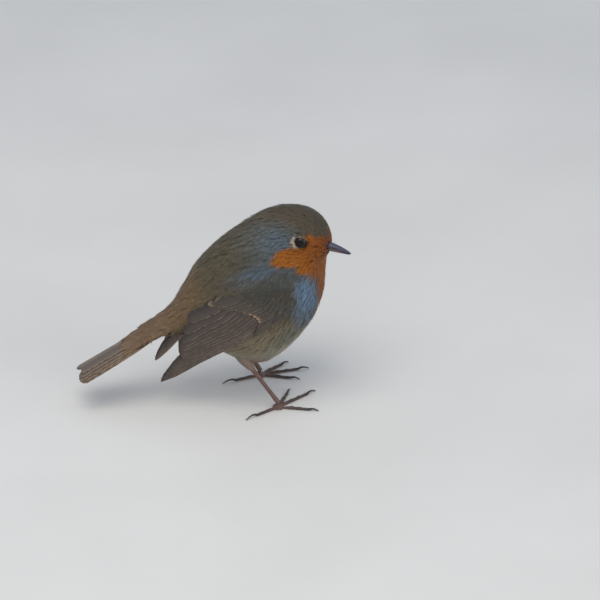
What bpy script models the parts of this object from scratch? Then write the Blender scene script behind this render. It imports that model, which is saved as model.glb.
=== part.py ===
"""A European robin (Erithacus rubecula), life size, as a still museum model.

The bird stands on both feet with its wings drooped and its head turned to its right.
Units are metres. +X is the way the body faces, +Y is the bird's left and +Z is up.
Sizes are written in millimetres and turned into metres by MM. While the bird is being
modelled, x = 0 lies between its feet; stand_on_origin() then moves everything, so that
the origin is the bottom centre of the whole bird's box.
"""

import math
from collections import namedtuple

import bmesh
import bpy
import numpy as np
from mathutils import Matrix, Vector

MM = 0.001
GAP = 0.3  # clearance between neighbouring solids

# Sizes of the species that drive the model, in millimetres.
WING_LENGTH = 72.0  # bend of the folded wing to the tip of the longest primary
TARSUS_LENGTH = 26.0
BILL_LENGTH = 9.9  # the part clear of the feathers
EYE_RADIUS = 3.0
TAIL_WIDTH = 17.0
TAIL_LENGTH = 32.6  # the part behind the tail coverts

HEAD_TURN = math.radians(-28)  # about the vertical, towards the bird's right
HEAD_PIVOT_X = 13.0
BODY_SIDES = 32
BODY_RINGS = 46
SQUARENESS = 2.12  # exponent of the body's section: 2 is an ellipse
LOW_BELLY = 0.07  # how much wider the trunk is below its middle than above it

# Each station is a ring round the body, given by its highest and lowest point in the bird's
# middle plane, its half width, how egg-shaped it is and its share of the head's turn.
Station = namedtuple("Station", "place top_x top_z low_x low_z half_width egg turn")
STATIONS = (
    Station("ends of the tail coverts", -57.6, 33.4, -56.4, 30.8, 8.6, 0.0, 0.0),
    Station("tail coverts", -49.3, 39.6, -46.8, 34.2, 9.4, 0.0, 0.0),
    Station("root of the tail", -42.4, 46.0, -37.2, 33.6, 11.2, 0.2, 0.0),
    Station("rump and vent", -36.8, 56.4, -26.0, 28.6, 15.6, 0.6, 0.0),
    Station("lower back and belly", -30.4, 67.0, -14.6, 21.4, 20.4, 1.0, 0.0),
    Station("middle of the back", -21.2, 76.3, -1.0, 18.6, 22.8, 1.0, 0.0),
    Station("shoulders and breast", -11.8, 83.4, 12.8, 28.6, 21.8, 0.8, 0.0),
    Station("mantle and upper breast", -3.6, 88.6, 22.0, 40.8, 18.8, 0.5, 0.1),
    Station("nape and foreneck", 3.0, 91.4, 25.6, 52.6, 15.6, 0.2, 0.35),
    Station("hind crown and throat", 9.8, 92.4, 26.0, 61.8, 13.2, 0.0, 0.75),
    Station("crown and chin", 17.0, 91.2, 26.1, 67.2, 12.0, 0.0, 1.0),
    Station("forehead", 23.1, 87.4, 27.2, 69.6, 9.6, 0.0, 1.0),
    Station("base of the forehead", 27.1, 82.0, 28.1, 71.0, 6.4, 0.0, 1.0),
    Station("root of the bill", 28.7, 77.4, 28.7, 72.3, 3.3, 0.0, 1.0),
)
HEAD_FROM = 8.4  # station numbers where the head, the neck and the rump are parted
NECK_FROM = 6.8
RUMP_TO = 3.0

# The eye's and the bill's places are in the head's own frame: forward, left and up from
# the pivot's axis at floor level.
EYE_PLACE = (6.2, 10.1, 80.5)
BILL_PLACE = (16.25, 0.0, 74.6)
BILL_DROOP = math.radians(8.5)
BILL_HALF_WIDTH = 1.7
BILL_HEIGHT_UPPER = 1.75
BILL_HEIGHT_LOWER = 1.15
BILL_LOWER_SHARE = 0.955  # length of the lower half against the upper one
BILL_TIP_RADIUS = 0.28
BILL_HOOK = 0.45  # how far the tip bends down

# The folded wings follow one form: an oval section along the line from the bend of the
# wing to its tip, whose half width is given at places behind the bend.
WRIST = (10.5, 55.7)  # bend of the wing, as x and z
WING_TIP = (-49.8, 15.6)
WING_SPREAD = (
    (-14.0, 15.0), (-6.0, 18.6), (2.0, 21.4), (14.0, 23.8), (26.0, 23.8), (38.0, 20.8),
    (48.0, 17.0), (56.0, 14.6), (64.0, 13.0), (76.0, 11.6),
)
WING_MIDDLE_UP = 3.0
WING_HALF_HEIGHT = 28.0
WING_THICKNESS = 1.6
WING_REACH = (6.0, 40.0)  # the nearest and furthest that a wing can lie from the middle
# Lines in the wing's own plane: back from the bend along the wing, and up from it. Two of
# them run round the wing, and the others part its feather groups from each other.
WING_LINES = {
    "leading edge": (
        (25.0, -2.6), (16.0, -2.9), (6.0, -2.6), (0.0, -0.4), (-4.0, 7.0), (-2.6, 14.0),
        (8.0, 20.0), (20.0, 24.1), (31.0, 23.9), (35.5, 21.3),
    ),
    "tertials": (
        (35.5, 21.3), (45.0, 18.9), (51.0, 15.0), (54.6, 11.7), (57.4, 8.0), (60.0, 5.3),
    ),
    "wing tip": (
        (60.0, 5.3), (65.0, 4.0), (69.6, 2.3), (72.0, 0.0), (58.0, -1.2), (40.0, -2.7), (25.0, -2.6),
    ),
    "ends of the coverts": (
        (35.5, 21.3), (27.0, 16.6), (20.2, 10.6), (18.3, 5.0), (21.5, 1.7),
    ),
    "ends of the primary coverts": ((21.5, 1.7), (23.6, -0.2), (25.0, -2.6)),
    "ends of the secondaries": ((21.5, 1.7), (34.0, 2.3), (46.0, 3.2), (60.0, 5.3)),
}
# Each group's outline is a chain of these lines; a minus sign means backwards.
WING_GROUPS = {
    "coverts": ("leading edge", "ends of the coverts", "ends of the primary coverts"),
    "secondaries": ("tertials", "-ends of the secondaries", "-ends of the coverts"),
    "primaries": ("wing tip", "-ends of the primary coverts", "ends of the secondaries"),
}

TAIL_SLOPE = math.radians(30.4)
TAIL_THICKNESS = 0.8
TAIL_START = (-57.3, 0.0, 31.9)
TAIL_NOTCH = 2.6
TAIL_LONGEST_AT = 0.62  # place of the longest feathers, as a share of the half width
TAIL_CORNER = 3.2  # how much shorter the outermost feathers are
TAIL_ROOF = 0.9  # how far the tail's edges lie below its middle
TAIL_MIDDLE_HALF = 3.6  # half width of the two middle feathers

HEEL = (-9.3, 12.6, 23.3)  # of the right leg, with y counted outwards
THIGH_TOP = (-1.6, 10.4, 32.6)
THIGH_RADII = (7.4, 6.8, 5.4, 3.8, 2.2)
TARSUS_RADIUS = 0.95
HEEL_SWELL = 0.5  # how much thicker the shank is at its ends
TOES_SWELL = 0.3
TOE_RADIUS = 0.82
TOE_TAPER = 0.22
PAD_SWELL = 0.1
ROOT_WAIST = 0.5  # how much thinner a toe is where it leaves the sole
ROOT_WAIST_LENGTH = 1.5
SOLE_DEPTH = 0.8  # height of a toe's middle above the floor, as a share of its radius
SOLE_STEPS = ((2.4, 0.0), (2.5, 0.6), (2.2, 1.3), (1.5, 1.8))  # radius and height
CLAW_ROOT_RADIUS = 0.6
CLAW_TIP_RADIUS = 0.25
CLAW_ARCH = 0.15  # rise of the claw's middle, as a share of its length

# Toe name: (length of the toe, length of its claw, number of pads).
TOES = {
    "hind": (9.0, 6.6, 1),
    "inner": (11.0, 4.4, 2),
    "middle": (15.0, 5.2, 3),
    "outer": (11.2, 4.2, 3),
}
Foot = namedtuple("Foot", "x y bearings")
FEET = {
    "right": Foot(2.7, -15.6, {"hind": 212, "inner": 65, "middle": 36, "outer": -18}),
    "left": Foot(-1.2, 16.2, {"hind": 198, "inner": -20, "middle": 10, "outer": 38}),
}
ANKLE_HEIGHT = 2.9


# ---------------------------------------------------------------- helpers


def clear_scene():
    for obj in list(bpy.data.objects):
        bpy.data.objects.remove(obj, do_unlink=True)


def material(name, colour, roughness, coat=0.0):
    made = bpy.data.materials.new(name)
    made.use_nodes = True
    shader = made.node_tree.nodes["Principled BSDF"]
    shader.inputs["Base Color"].default_value = (*colour, 1.0)
    shader.inputs["Roughness"].default_value = roughness
    shader.inputs["Metallic"].default_value = 0.0
    shader.inputs["Coat Weight"].default_value = coat
    made.diffuse_color = (*colour, 1.0)
    return made


def loft(name, rings, finish, smooth_angle=50):
    """A closed solid through rings of points in millimetres, with a flat cap at each end."""
    shape = bmesh.new()
    loops = []
    for ring in rings:
        corners = [shape.verts.new(Vector(point) * MM) for point in ring]
        edges = [shape.edges.new((a, b)) for a, b in zip(corners, corners[1:] + corners[:1])]
        loops.append((corners, edges))
    for (near, _), (far, _) in zip(loops, loops[1:]):
        count = len(near)
        for i in range(count):
            j = (i + 1) % count
            shape.faces.new((near[i], near[j], far[j], far[i]))
    shape.faces.new(list(reversed(loops[0][0])))
    shape.faces.new(loops[-1][0])
    bmesh.ops.recalc_face_normals(shape, faces=shape.faces)
    return finished(name, shape, finish, smooth_angle)


def finished(name, shape, finish, smooth_angle=50):
    """Turns a bmesh into a scene object with its finish and smooth shading."""
    mesh = bpy.data.meshes.new(name)
    shape.to_mesh(mesh)
    shape.free()
    if finish:
        mesh.materials.append(finish)
    mesh.shade_smooth()
    mesh.set_sharp_from_angle(angle=math.radians(smooth_angle))
    obj = bpy.data.objects.new(name, mesh)
    bpy.context.scene.collection.objects.link(obj)
    return obj


def as_cutter(obj):
    obj.hide_render = True
    obj.display_type = "WIRE"
    return obj


def cut(obj, cutter, operation="DIFFERENCE"):
    step = obj.modifiers.new(f"{operation.lower()} {cutter.name}", "BOOLEAN")
    step.operation = operation
    step.object = cutter
    step.solver = "EXACT"


def through(values, t):
    """Catmull-Rom curve through rows of values, read at station number t."""
    last = len(values) - 1
    i = min(int(t), last - 1)
    rows = [values[max(0, min(last, k))] for k in (i - 1, i, i + 1, i + 2)]
    f = t - i
    weights = (
        -0.5 * f + f**2 - 0.5 * f**3,
        1 - 2.5 * f**2 + 1.5 * f**3,
        0.5 * f + 2 * f**2 - 1.5 * f**3,
        -0.5 * f**2 + 0.5 * f**3,
    )
    return sum(w * row for w, row in zip(weights, rows))


def tube(name, path, radii, finish, sides=8, on_floor=False):
    """A solid round a path of points. On the floor, its underside is a flat at z = 0."""
    points = [Vector(p) for p in path]
    rings = []
    for i, (middle, radius) in enumerate(zip(points, radii)):
        along = (points[min(i + 1, len(points) - 1)] - points[max(i - 1, 0)]).normalized()
        side = along.cross(Vector((0, 0, 1)))
        side = side.normalized() if side.length > 0.05 else Vector((0, 1, 0))
        up = side.cross(along)
        ring = []
        for k in range(sides):
            angle = 2 * math.pi * (k + 0.5) / sides
            point = middle + side * (radius * math.cos(angle)) + up * (radius * math.sin(angle))
            if on_floor:
                point.z = max(point.z, 0.0)
            ring.append(point)
        rings.append(ring)
    return loft(name, rings, finish)


# ---------------------------------------------------------------- head, neck, trunk and rump


STATION_VALUES = np.array([station[1:] for station in STATIONS], float)
LAST = len(STATIONS) - 1


def turned(point, share):
    """A point turned with the head about the upright axis through its pivot."""
    pivot = Vector((HEAD_PIVOT_X, 0, 0))
    return Matrix.Rotation(HEAD_TURN * share, 3, "Z") @ (Vector(point) - pivot) + pivot


def body_ring(t, grow=0.0, slide=0.0):
    """The body's ring at station number t, grown outwards, and slid along the body."""
    top_x, top_z, low_x, low_z, half_width, egg, turn = through(STATION_VALUES, t)
    top, low = Vector((top_x, 0, top_z)), Vector((low_x, 0, low_z))
    middle, up = (top + low) / 2, (top - low).normalized()
    forward = Vector((up.z, 0, -up.x))
    half_height = (top - low).length / 2 + grow
    half_width += grow
    ring = []
    for k in range(BODY_SIDES):
        angle = 2 * math.pi * k / BODY_SIDES
        across, rise = math.sin(angle), math.cos(angle)
        across = math.copysign(abs(across) ** (2 / SQUARENESS), across)
        rise = math.copysign(abs(rise) ** (2 / SQUARENESS), rise)
        across *= half_width * (1 - LOW_BELLY * egg * rise)
        point = middle + up * (rise * half_height) + Vector((0, across, 0)) + forward * slide
        ring.append(turned(point, max(0.0, min(1.0, turn))))
    return ring


def body_length(name, start, end, finish):
    """One named length of the body, parted from its neighbours by GAP."""
    steps = [LAST * i / BODY_RINGS for i in range(BODY_RINGS + 1)]
    margin = 0.4 * LAST / BODY_RINGS
    between = [t for t in steps if start + margin < t < end - margin]
    near = 0.0 if start == 0 else GAP / 2
    far = 0.0 if end == LAST else -GAP / 2
    rings = [body_ring(start, slide=near)]
    rings += [body_ring(t) for t in between]
    rings.append(body_ring(end, slide=far))
    return loft(name, rings, finish)


def body_cutter(name, grow):
    """The whole body, grown, for trimming what lies against it."""
    rings = [body_ring(LAST * i / BODY_RINGS, grow=grow) for i in range(BODY_RINGS + 1)]
    return as_cutter(loft(name, rings, None))


def head_frame(place):
    """A place in the head's own frame as a point of the bird."""
    forward, left, up = place
    return turned((HEAD_PIVOT_X + forward, left, up), 1.0)


def eye(side, finish):
    """The eyeball, and the socket that it is cut from the head with."""
    forward, out, up = EYE_PLACE
    place = head_frame((forward, out if side == "left" else -out, up)) * MM
    balls = []
    for name, radius in ((f"eye_{side}", EYE_RADIUS), (f"socket_{side}", EYE_RADIUS + GAP)):
        shape = bmesh.new()
        bmesh.ops.create_uvsphere(shape, u_segments=14, v_segments=8, radius=radius * MM)
        ball = finished(name, shape, finish, smooth_angle=180)
        ball.location = place
        ball.rotation_euler = (math.pi / 2, 0, HEAD_TURN)
        balls.append(ball)
    as_cutter(balls[1])
    return balls


def bill(name, height, sign, finish):
    """One mandible: half an oval section that narrows to the tip, flat where the two meet."""
    steps, arc = 9, 8
    length = BILL_LENGTH if sign > 0 else BILL_LENGTH * BILL_LOWER_SHARE
    rings = []
    for i in range(steps + 1):
        along = i / steps
        width = BILL_HALF_WIDTH * (1 - along) ** 0.72 + BILL_TIP_RADIUS
        tall = height * (1 - along**1.5) ** 0.8 + BILL_TIP_RADIUS
        reach = length * along
        cutting_edge = sign * GAP / 2 - BILL_HOOK * (reach / BILL_LENGTH) ** 3
        ring = []
        for k in range(arc + 1):
            angle = math.pi * k / arc
            rise = sign * tall * math.sin(angle) ** 0.9
            ring.append((reach, width * math.cos(angle), cutting_edge + rise))
        rings.append(ring)
    piece = loft(name, rings, finish, smooth_angle=60)
    piece.location = head_frame(BILL_PLACE) * MM
    piece.rotation_euler = (0, BILL_DROOP, HEAD_TURN)
    return piece


# ---------------------------------------------------------------- wings


WING_SLOPE = math.atan2(WRIST[1] - WING_TIP[1], WRIST[0] - WING_TIP[0])


def wing_place(back, up):
    """A point of the wing's own plane as x and z."""
    x = WRIST[0] - back * math.cos(WING_SLOPE) - up * math.sin(WING_SLOPE)
    z = WRIST[1] - back * math.sin(WING_SLOPE) + up * math.cos(WING_SLOPE)
    return x, z


def wing_form(name, shrink):
    """The form that the folded wings follow, made smaller by shrink."""
    spread = np.array(WING_SPREAD)
    count, sides = 24, 32
    rings = []
    for i in range(count + 1):
        back, half_width = through(spread, (len(spread) - 1) * i / count)
        ring = []
        for k in range(sides):
            angle = 2 * math.pi * k / sides
            x, z = wing_place(back, WING_MIDDLE_UP + (WING_HALF_HEIGHT - shrink) * math.cos(angle))
            ring.append((x, (half_width - shrink) * math.sin(angle), z))
        rings.append(ring)
    return as_cutter(loft(name, rings, None))


def wing_outline(lines):
    """The closed outline that the named lines make, drawn in by half a GAP."""
    points = []
    for name in lines:
        corners = np.array(WING_LINES[name.lstrip("-")])
        if name.startswith("-"):
            corners = corners[::-1]
        count = 3 * (len(corners) - 1)
        points += [through(corners, (len(corners) - 1) * i / count) for i in range(count)]
    around = np.array(points)
    along = np.roll(around, -1, axis=0) - np.roll(around, 1, axis=0)
    normal = np.stack([along[:, 1], -along[:, 0]], axis=1)
    normal /= np.linalg.norm(normal, axis=1)[:, None]
    return around + normal * (GAP / 2)


def wing_group(name, side, lines, outer, trims, finish):
    """One group of wing feathers: its outline drawn out sideways, kept where it lies in the
    outer form, and trimmed by the inner one and by the body."""
    sign = 1 if side == "left" else -1
    plane = [wing_place(back, up) for back, up in wing_outline(lines)]
    rings = [[(x, sign * out, z) for x, z in plane] for out in WING_REACH]
    group = loft(name, rings, finish)
    cut(group, outer, "INTERSECT")
    for trim in trims:
        cut(group, trim)


# ---------------------------------------------------------------- tail


def tail_group(name, inner, outer, top, finish):
    """Tail feathers between two places across the tail, with the notch at their ends."""
    back = Vector((-math.cos(TAIL_SLOPE), 0, -math.sin(TAIL_SLOPE)))
    start = Vector(TAIL_START) + back * GAP
    up = Vector((-math.sin(TAIL_SLOPE), 0, math.cos(TAIL_SLOPE)))
    steps = 6
    rings = []
    for i in range(steps + 1):
        y = inner + (outer - inner) * i / steps
        share = abs(y) / (TAIL_WIDTH / 2)
        from_notch = min(1.0, share / TAIL_LONGEST_AT)
        to_edge = max(0.0, (share - TAIL_LONGEST_AT) / (1 - TAIL_LONGEST_AT))
        reach = TAIL_LENGTH - TAIL_NOTCH * (1 - from_notch**1.5) - TAIL_CORNER * to_edge**2
        drop = TAIL_ROOF * share**2
        edge = start + up * (top - drop) + Vector((0, y, 0))
        upper = [edge + back * (reach * along) for along in (0, 0.5, 1)]
        lower = [point - up * TAIL_THICKNESS for point in reversed(upper)]
        rings.append(upper + lower)
    return loft(name, rings, finish)


# ---------------------------------------------------------------- legs and feet


def outward(side, point):
    x, out, z = point
    return Vector((x, out if side == "left" else -out, z))


def thigh(name, side, grow, finish):
    """The feathered thigh, from inside the belly to the heel."""
    heel, top = outward(side, HEEL), outward(side, THIGH_TOP)
    along = (heel - top).normalized() * grow
    steps = len(THIGH_RADII) - 1
    path = [(top - along).lerp(heel + along, i / steps) for i in range(steps + 1)]
    return tube(name, path, [radius + grow for radius in THIGH_RADII], finish, sides=16)


def tarsus(side, skin):
    """The bare shank from the heel, just past the end of the thigh, down to the toes."""
    heel, top = outward(side, HEEL), outward(side, THIGH_TOP)
    foot = FEET[side]
    ankle = Vector((foot.x, foot.y, ANKLE_HEIGHT))
    start = heel + (heel - top).normalized() * (TARSUS_RADIUS * (1 + HEEL_SWELL) + GAP)
    count = 9
    path, radii = [], []
    for i in range(count + 1):
        at_heel = HEEL_SWELL * math.exp(-((i / 1.6) ** 2))
        at_toes = TOES_SWELL * math.exp(-(((count - i) / 1.2) ** 2))
        path.append(start.lerp(ankle, i / count))
        radii.append(TARSUS_RADIUS * (1 + at_heel + at_toes))
    tube(f"tarsus_{side}", path, radii, skin, sides=10)


def sole(side, skin):
    """The low pad under the shank, which the toes spread from."""
    foot = FEET[side]
    rings = []
    for radius, z in SOLE_STEPS:
        ring = []
        for k in range(16):
            angle = 2 * math.pi * k / 16
            ring.append((foot.x + radius * math.cos(angle), foot.y + radius * math.sin(angle), z))
        rings.append(ring)
    loft(f"sole_{side}", rings, skin)


def toe(side, name, bearing, skin, horn):
    """A toe that lies along the floor, with a pad under each joint, and its hooked claw."""
    length, claw_length, pads = TOES[name]
    foot = FEET[side]
    heading = Vector((math.cos(math.radians(bearing)), math.sin(math.radians(bearing)), 0))
    root = Vector((foot.x, foot.y, 0)) + heading * (SOLE_STEPS[0][0] + GAP)
    steps = 9
    path, radii = [], []
    for i in range(steps + 1):
        along = i / steps
        radius = TOE_RADIUS * (1 - TOE_TAPER * along)
        radius *= 1 + PAD_SWELL * math.cos(2 * math.pi * pads * along)
        radius *= 1 - ROOT_WAIST * math.exp(-((length * along / ROOT_WAIST_LENGTH) ** 2))
        path.append(root + heading * (length * along) + Vector((0, 0, SOLE_DEPTH * radius)))
        radii.append(radius)
    tube(f"toe_{side}_{name}", path, radii, skin, on_floor=True)
    tip = path[-1] + heading * GAP
    tip.z = CLAW_ROOT_RADIUS
    steps = 6
    curve, widths = [], []
    for i in range(steps + 1):
        along = i / steps
        arch = CLAW_ARCH * claw_length * math.sin(math.pi * along**0.85)
        drop = (CLAW_ROOT_RADIUS - CLAW_TIP_RADIUS) * along
        curve.append(tip + heading * (claw_length * along) + Vector((0, 0, arch - drop)))
        widths.append(CLAW_ROOT_RADIUS + (CLAW_TIP_RADIUS - CLAW_ROOT_RADIUS) * along)
    tube(f"claw_{side}_{name}", curve, widths, horn, sides=6)


# ---------------------------------------------------------------- the whole bird


def stand_on_origin():
    """Moves all pieces so that the bottom centre of the shown solids' box is the origin."""
    bpy.context.view_layer.update()
    graph = bpy.context.evaluated_depsgraph_get()
    corners = [
        obj.matrix_world @ Vector(corner)
        for obj in bpy.context.scene.objects
        if not obj.hide_render
        for corner in obj.evaluated_get(graph).bound_box
    ]
    low = Vector(min(c[k] for c in corners) for k in range(3))
    high = Vector(max(c[k] for c in corners) for k in range(3))
    shift = Vector((-(low.x + high.x) / 2, -(low.y + high.y) / 2, -low.z))
    for obj in bpy.context.scene.objects:
        obj.location += shift
    print("shift to the origin, mm:", [round(v / MM, 3) for v in shift])


def build():
    clear_scene()
    brown = material("plumage_back", (0.20, 0.16, 0.10), 0.85)
    orange = material("plumage_face", (0.55, 0.20, 0.05), 0.85)
    flight = material("flight_feathers", (0.16, 0.12, 0.09), 0.7)
    pale = material("plumage_thigh", (0.45, 0.40, 0.32), 0.9)
    skin = material("leg_skin", (0.17, 0.10, 0.08), 0.5)
    horn = material("horn", (0.05, 0.04, 0.04), 0.4)
    glossy = material("eye", (0.01, 0.008, 0.006), 0.05, coat=1.0)

    body_length("rump", 0, RUMP_TO, brown)
    trunk = body_length("trunk", RUMP_TO, NECK_FROM, brown)
    body_length("neck", NECK_FROM, HEAD_FROM, orange)
    head = body_length("head", HEAD_FROM, LAST, orange)
    around_body = body_cutter("body_cutter", GAP)

    for side in ("left", "right"):
        _, socket = eye(side, glossy)
        cut(head, socket)
    bill("bill_upper", BILL_HEIGHT_UPPER, 1, horn)
    bill("bill_lower", BILL_HEIGHT_LOWER, -1, horn)

    outer = wing_form("wing_outer", 0.0)
    cut(outer, body_cutter("body_below_wing", GAP + WING_THICKNESS), "UNION")
    inner = wing_form("wing_inner", WING_THICKNESS)
    for side in ("left", "right"):
        for name, lines in WING_GROUPS.items():
            finish = brown if name == "coverts" else flight
            wing_group(f"wing_{side}_{name}", side, lines, outer, (inner, around_body), finish)
        thigh(f"thigh_{side}", side, 0.0, pale)
        cut(trunk, as_cutter(thigh(f"thigh_cutter_{side}", side, GAP, None)))
        tarsus(side, skin)
        sole(side, skin)
        for name, bearing in FEET[side].bearings.items():
            toe(side, name, bearing, skin, horn)

    half = TAIL_WIDTH / 2
    tail_group("tail_middle", -TAIL_MIDDLE_HALF, TAIL_MIDDLE_HALF, TAIL_THICKNESS + GAP, flight)
    tail_group("tail_left", GAP, half, 0.0, flight)
    tail_group("tail_right", -GAP, -half, 0.0, flight)
    stand_on_origin()


build()
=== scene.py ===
# %% [markdown]
# # A European robin, life size, as a still museum model
# The bird stands on a pale floor with its wings drooped and its head turned to its right.
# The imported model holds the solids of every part, and this lesson dresses them: one skin, a
# coat of small feathers laid over it, the long feathers of wings and tail, and then the eyes,
# the bill and the legs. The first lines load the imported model, which never moves afterwards.
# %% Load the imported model
import math
from functools import partial

import bmesh
import bpy
import numpy as np
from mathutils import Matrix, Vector
from mathutils.bvhtree import BVHTree


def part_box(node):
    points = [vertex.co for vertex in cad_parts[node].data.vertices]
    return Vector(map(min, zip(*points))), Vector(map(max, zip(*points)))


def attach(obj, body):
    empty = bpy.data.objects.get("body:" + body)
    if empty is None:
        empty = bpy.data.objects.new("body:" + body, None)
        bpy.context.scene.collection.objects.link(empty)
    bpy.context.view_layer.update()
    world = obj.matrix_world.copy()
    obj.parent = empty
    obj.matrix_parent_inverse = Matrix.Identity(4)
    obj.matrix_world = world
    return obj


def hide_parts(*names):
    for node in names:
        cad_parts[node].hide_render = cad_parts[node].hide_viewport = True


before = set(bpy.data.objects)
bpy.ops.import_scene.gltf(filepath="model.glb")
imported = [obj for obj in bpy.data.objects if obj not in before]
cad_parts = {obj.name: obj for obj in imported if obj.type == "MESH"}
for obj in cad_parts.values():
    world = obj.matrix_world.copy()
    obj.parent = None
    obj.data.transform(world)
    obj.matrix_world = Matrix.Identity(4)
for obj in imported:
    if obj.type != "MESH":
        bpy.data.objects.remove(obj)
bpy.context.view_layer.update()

# %% [markdown]
# ## Millimetres, and where things are
# A small bird is easier to think of in millimetres, so all places below are measured from the
# floor between its feet: x forward, y to the bird's left, z up. The pad under the right shank
# is at a known place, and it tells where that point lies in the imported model. The head has
# its own frame, turned with it about an upright axis.
# %% Places in millimetres
MM = 0.001
RIGHT_SOLE = Vector((2.7, -15.6, 0.0))


def middle_of(node):
    low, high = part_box(node)
    return (low + high) / 2


def to_scene(places):
    """Places in millimetres as scene coordinates."""
    return np.asarray(places) * MM + np.array(ORIGIN)


def to_mm(places):
    return (np.asarray(places) - np.array(ORIGIN)) / MM


sole = middle_of("sole_right")
ORIGIN = Vector((sole.x, sole.y, 0.0)) - RIGHT_SOLE * MM
HEAD_TURN = math.radians(-28)
HEAD_PIVOT = np.array((13.0, 0.0, 0.0))
SIDES = (("right", -1), ("left", 1))
EYES = [to_mm(middle_of(f"eye_{side_name}")) for side_name, _ in SIDES]


def turn_z(places, angle):
    c, s = math.cos(angle), math.sin(angle)
    return np.asarray(places) @ np.array(((c, s, 0), (-s, c, 0), (0, 0, 1)))


def head_place(forward, left, up):
    """A place in the head's own frame, as one of the bird's places in millimetres."""
    return turn_z((forward, left, up), HEAD_TURN) + HEAD_PIVOT


def in_head(places):
    return turn_z(np.asarray(places) - HEAD_PIVOT, -HEAD_TURN)


BILL_ROOT = head_place(16.0, 0.0, 74.6)
print("right eye in the head's frame:", in_head(EYES[0]).round(2))

# %% [markdown]
# ## The camera
# A long lens from well back keeps the small bird free of the bulging that a near camera gives.
# The camera looks down on the bird from its right side, a little from behind.
# %% Camera
AZIMUTH, ELEVATION = math.radians(-8), math.radians(27)
LENS, SENSOR = 400.0, 36.0
FIELD = 266.7  # millimetres across the view at the bird
AIM = Vector((14.0, -5.5, 48.2))

towards = Vector((math.sin(AZIMUTH) * math.cos(ELEVATION),
                  -math.cos(AZIMUTH) * math.cos(ELEVATION), math.sin(ELEVATION)))
camera = bpy.data.objects.new("camera", bpy.data.cameras.new("camera"))
camera.data.lens, camera.data.sensor_width = LENS, SENSOR
distance = FIELD * LENS / SENSOR * MM
camera.location = ORIGIN + AIM * MM + towards * distance
camera.rotation_euler = towards.to_track_quat("Z", "Y").to_euler()
camera.data.clip_start, camera.data.clip_end = 0.1, 20.0
bpy.context.scene.collection.objects.link(camera)
bpy.context.scene.camera = camera
print("camera stands", round(distance, 3), "m away")

# %% [markdown]
# ## Light and floor
# Large soft lamps and an even sky give the flat light of a shaded place. One wide lamp
# overhead models the form, and a weaker one in front of the breast opens the shadows.
# %% Lamps and sky
scene = bpy.context.scene
scene.view_settings.view_transform = "Standard"
world = bpy.data.worlds.new("even sky")
world.use_nodes = True
sky = world.node_tree.nodes["Background"].inputs
sky["Color"].default_value = (0.80, 0.87, 1.0, 1.0)
sky["Strength"].default_value = 0.66
scene.world = world


def soft_lamp(name, place, size, watts, tint):
    lamp = bpy.data.lights.new(name, "AREA")
    lamp.size, lamp.energy, lamp.color = size, watts, tint
    holder = bpy.data.objects.new(name, lamp)
    holder.location = place
    holder.rotation_euler = Vector(place).to_track_quat("Z", "Y").to_euler()
    scene.collection.objects.link(holder)


soft_lamp("overhead lamp", (-0.25, -0.35, 0.95), 0.7, 5.3, (1.0, 0.97, 0.92))
soft_lamp("breast lamp", (0.9, -0.7, 0.45), 0.6, 3.0, (1.0, 0.96, 0.9))

# %% [markdown]
# Every surface gets its colour, gloss and relief from a small tree of shader nodes. These
# helpers make such a tree in few lines.
# %% Shader helpers
def feed(tree, socket, value):
    """Sets a socket to a plain value, or links another node's output to it."""
    if isinstance(value, bpy.types.NodeSocket):
        tree.links.new(value, socket)
    else:
        socket.default_value = value


def node(tree, kind, **settings):
    """Adds a shader node, then sets its own settings, and its input sockets by name."""
    made = tree.nodes.new("ShaderNode" + kind)
    for key, value in settings.items():
        if hasattr(made, key) and not isinstance(value, bpy.types.NodeSocket):
            setattr(made, key, value)
        else:
            feed(tree, made.inputs[key.replace("_", " ").title()], value)
    return made


def paint(red, green, blue):
    """A colour as seen on a screen, 0 to 255, as the linear values that shaders use."""
    values = [c / 255 for c in (red, green, blue)]
    return (*[v / 12.92 if v < 0.04045 else ((v + 0.055) / 1.055) ** 2.4 for v in values], 1.0)


def material(name, roughness, specular):
    """A new material, with its tree and its Principled shader."""
    made = bpy.data.materials.new(name)
    made.use_nodes = True
    shader = made.node_tree.nodes["Principled BSDF"]
    shader.inputs["Roughness"].default_value = roughness
    shader.inputs["Specular IOR Level"].default_value = specular
    return made, made.node_tree, shader


def speckled(tree, scale, detail, dark, light):
    """Noise that runs between two tones; returns the colour, and the noise for a relief."""
    noise = node(tree, "TexNoise", scale=scale, detail=detail)
    tones = node(tree, "ValToRGB", fac=noise.outputs["Fac"])
    for stop, tone in zip(tones.color_ramp.elements, (dark, light)):
        stop.color = paint(*tone)
    return tones.outputs["Color"], noise.outputs["Fac"]


def speckled_material(name, roughness, specular, *noise):
    """A whole material whose colour is one such noise."""
    made, tree, shader = material(name, roughness, specular)
    tree.links.new(speckled(tree, *noise)[0], shader.inputs["Base Color"])
    return made


print("a middle grey for a shader:", round(paint(128, 128, 128)[0], 3))

# %% [markdown]
# The floor is a wide pale sheet, and noise between two close tones gives it a faint grain.
# %% The floor
pale = speckled_material("pale floor", 0.6, 0.5, 60.0, 4.0, (205, 203, 198), (222, 220, 215))
bpy.ops.mesh.primitive_plane_add(size=6.0)
floor = bpy.context.object
floor.name = "floor"
floor.data.materials.append(pale)
print("floor:", round(floor.dimensions.x, 1), "m wide")

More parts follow.
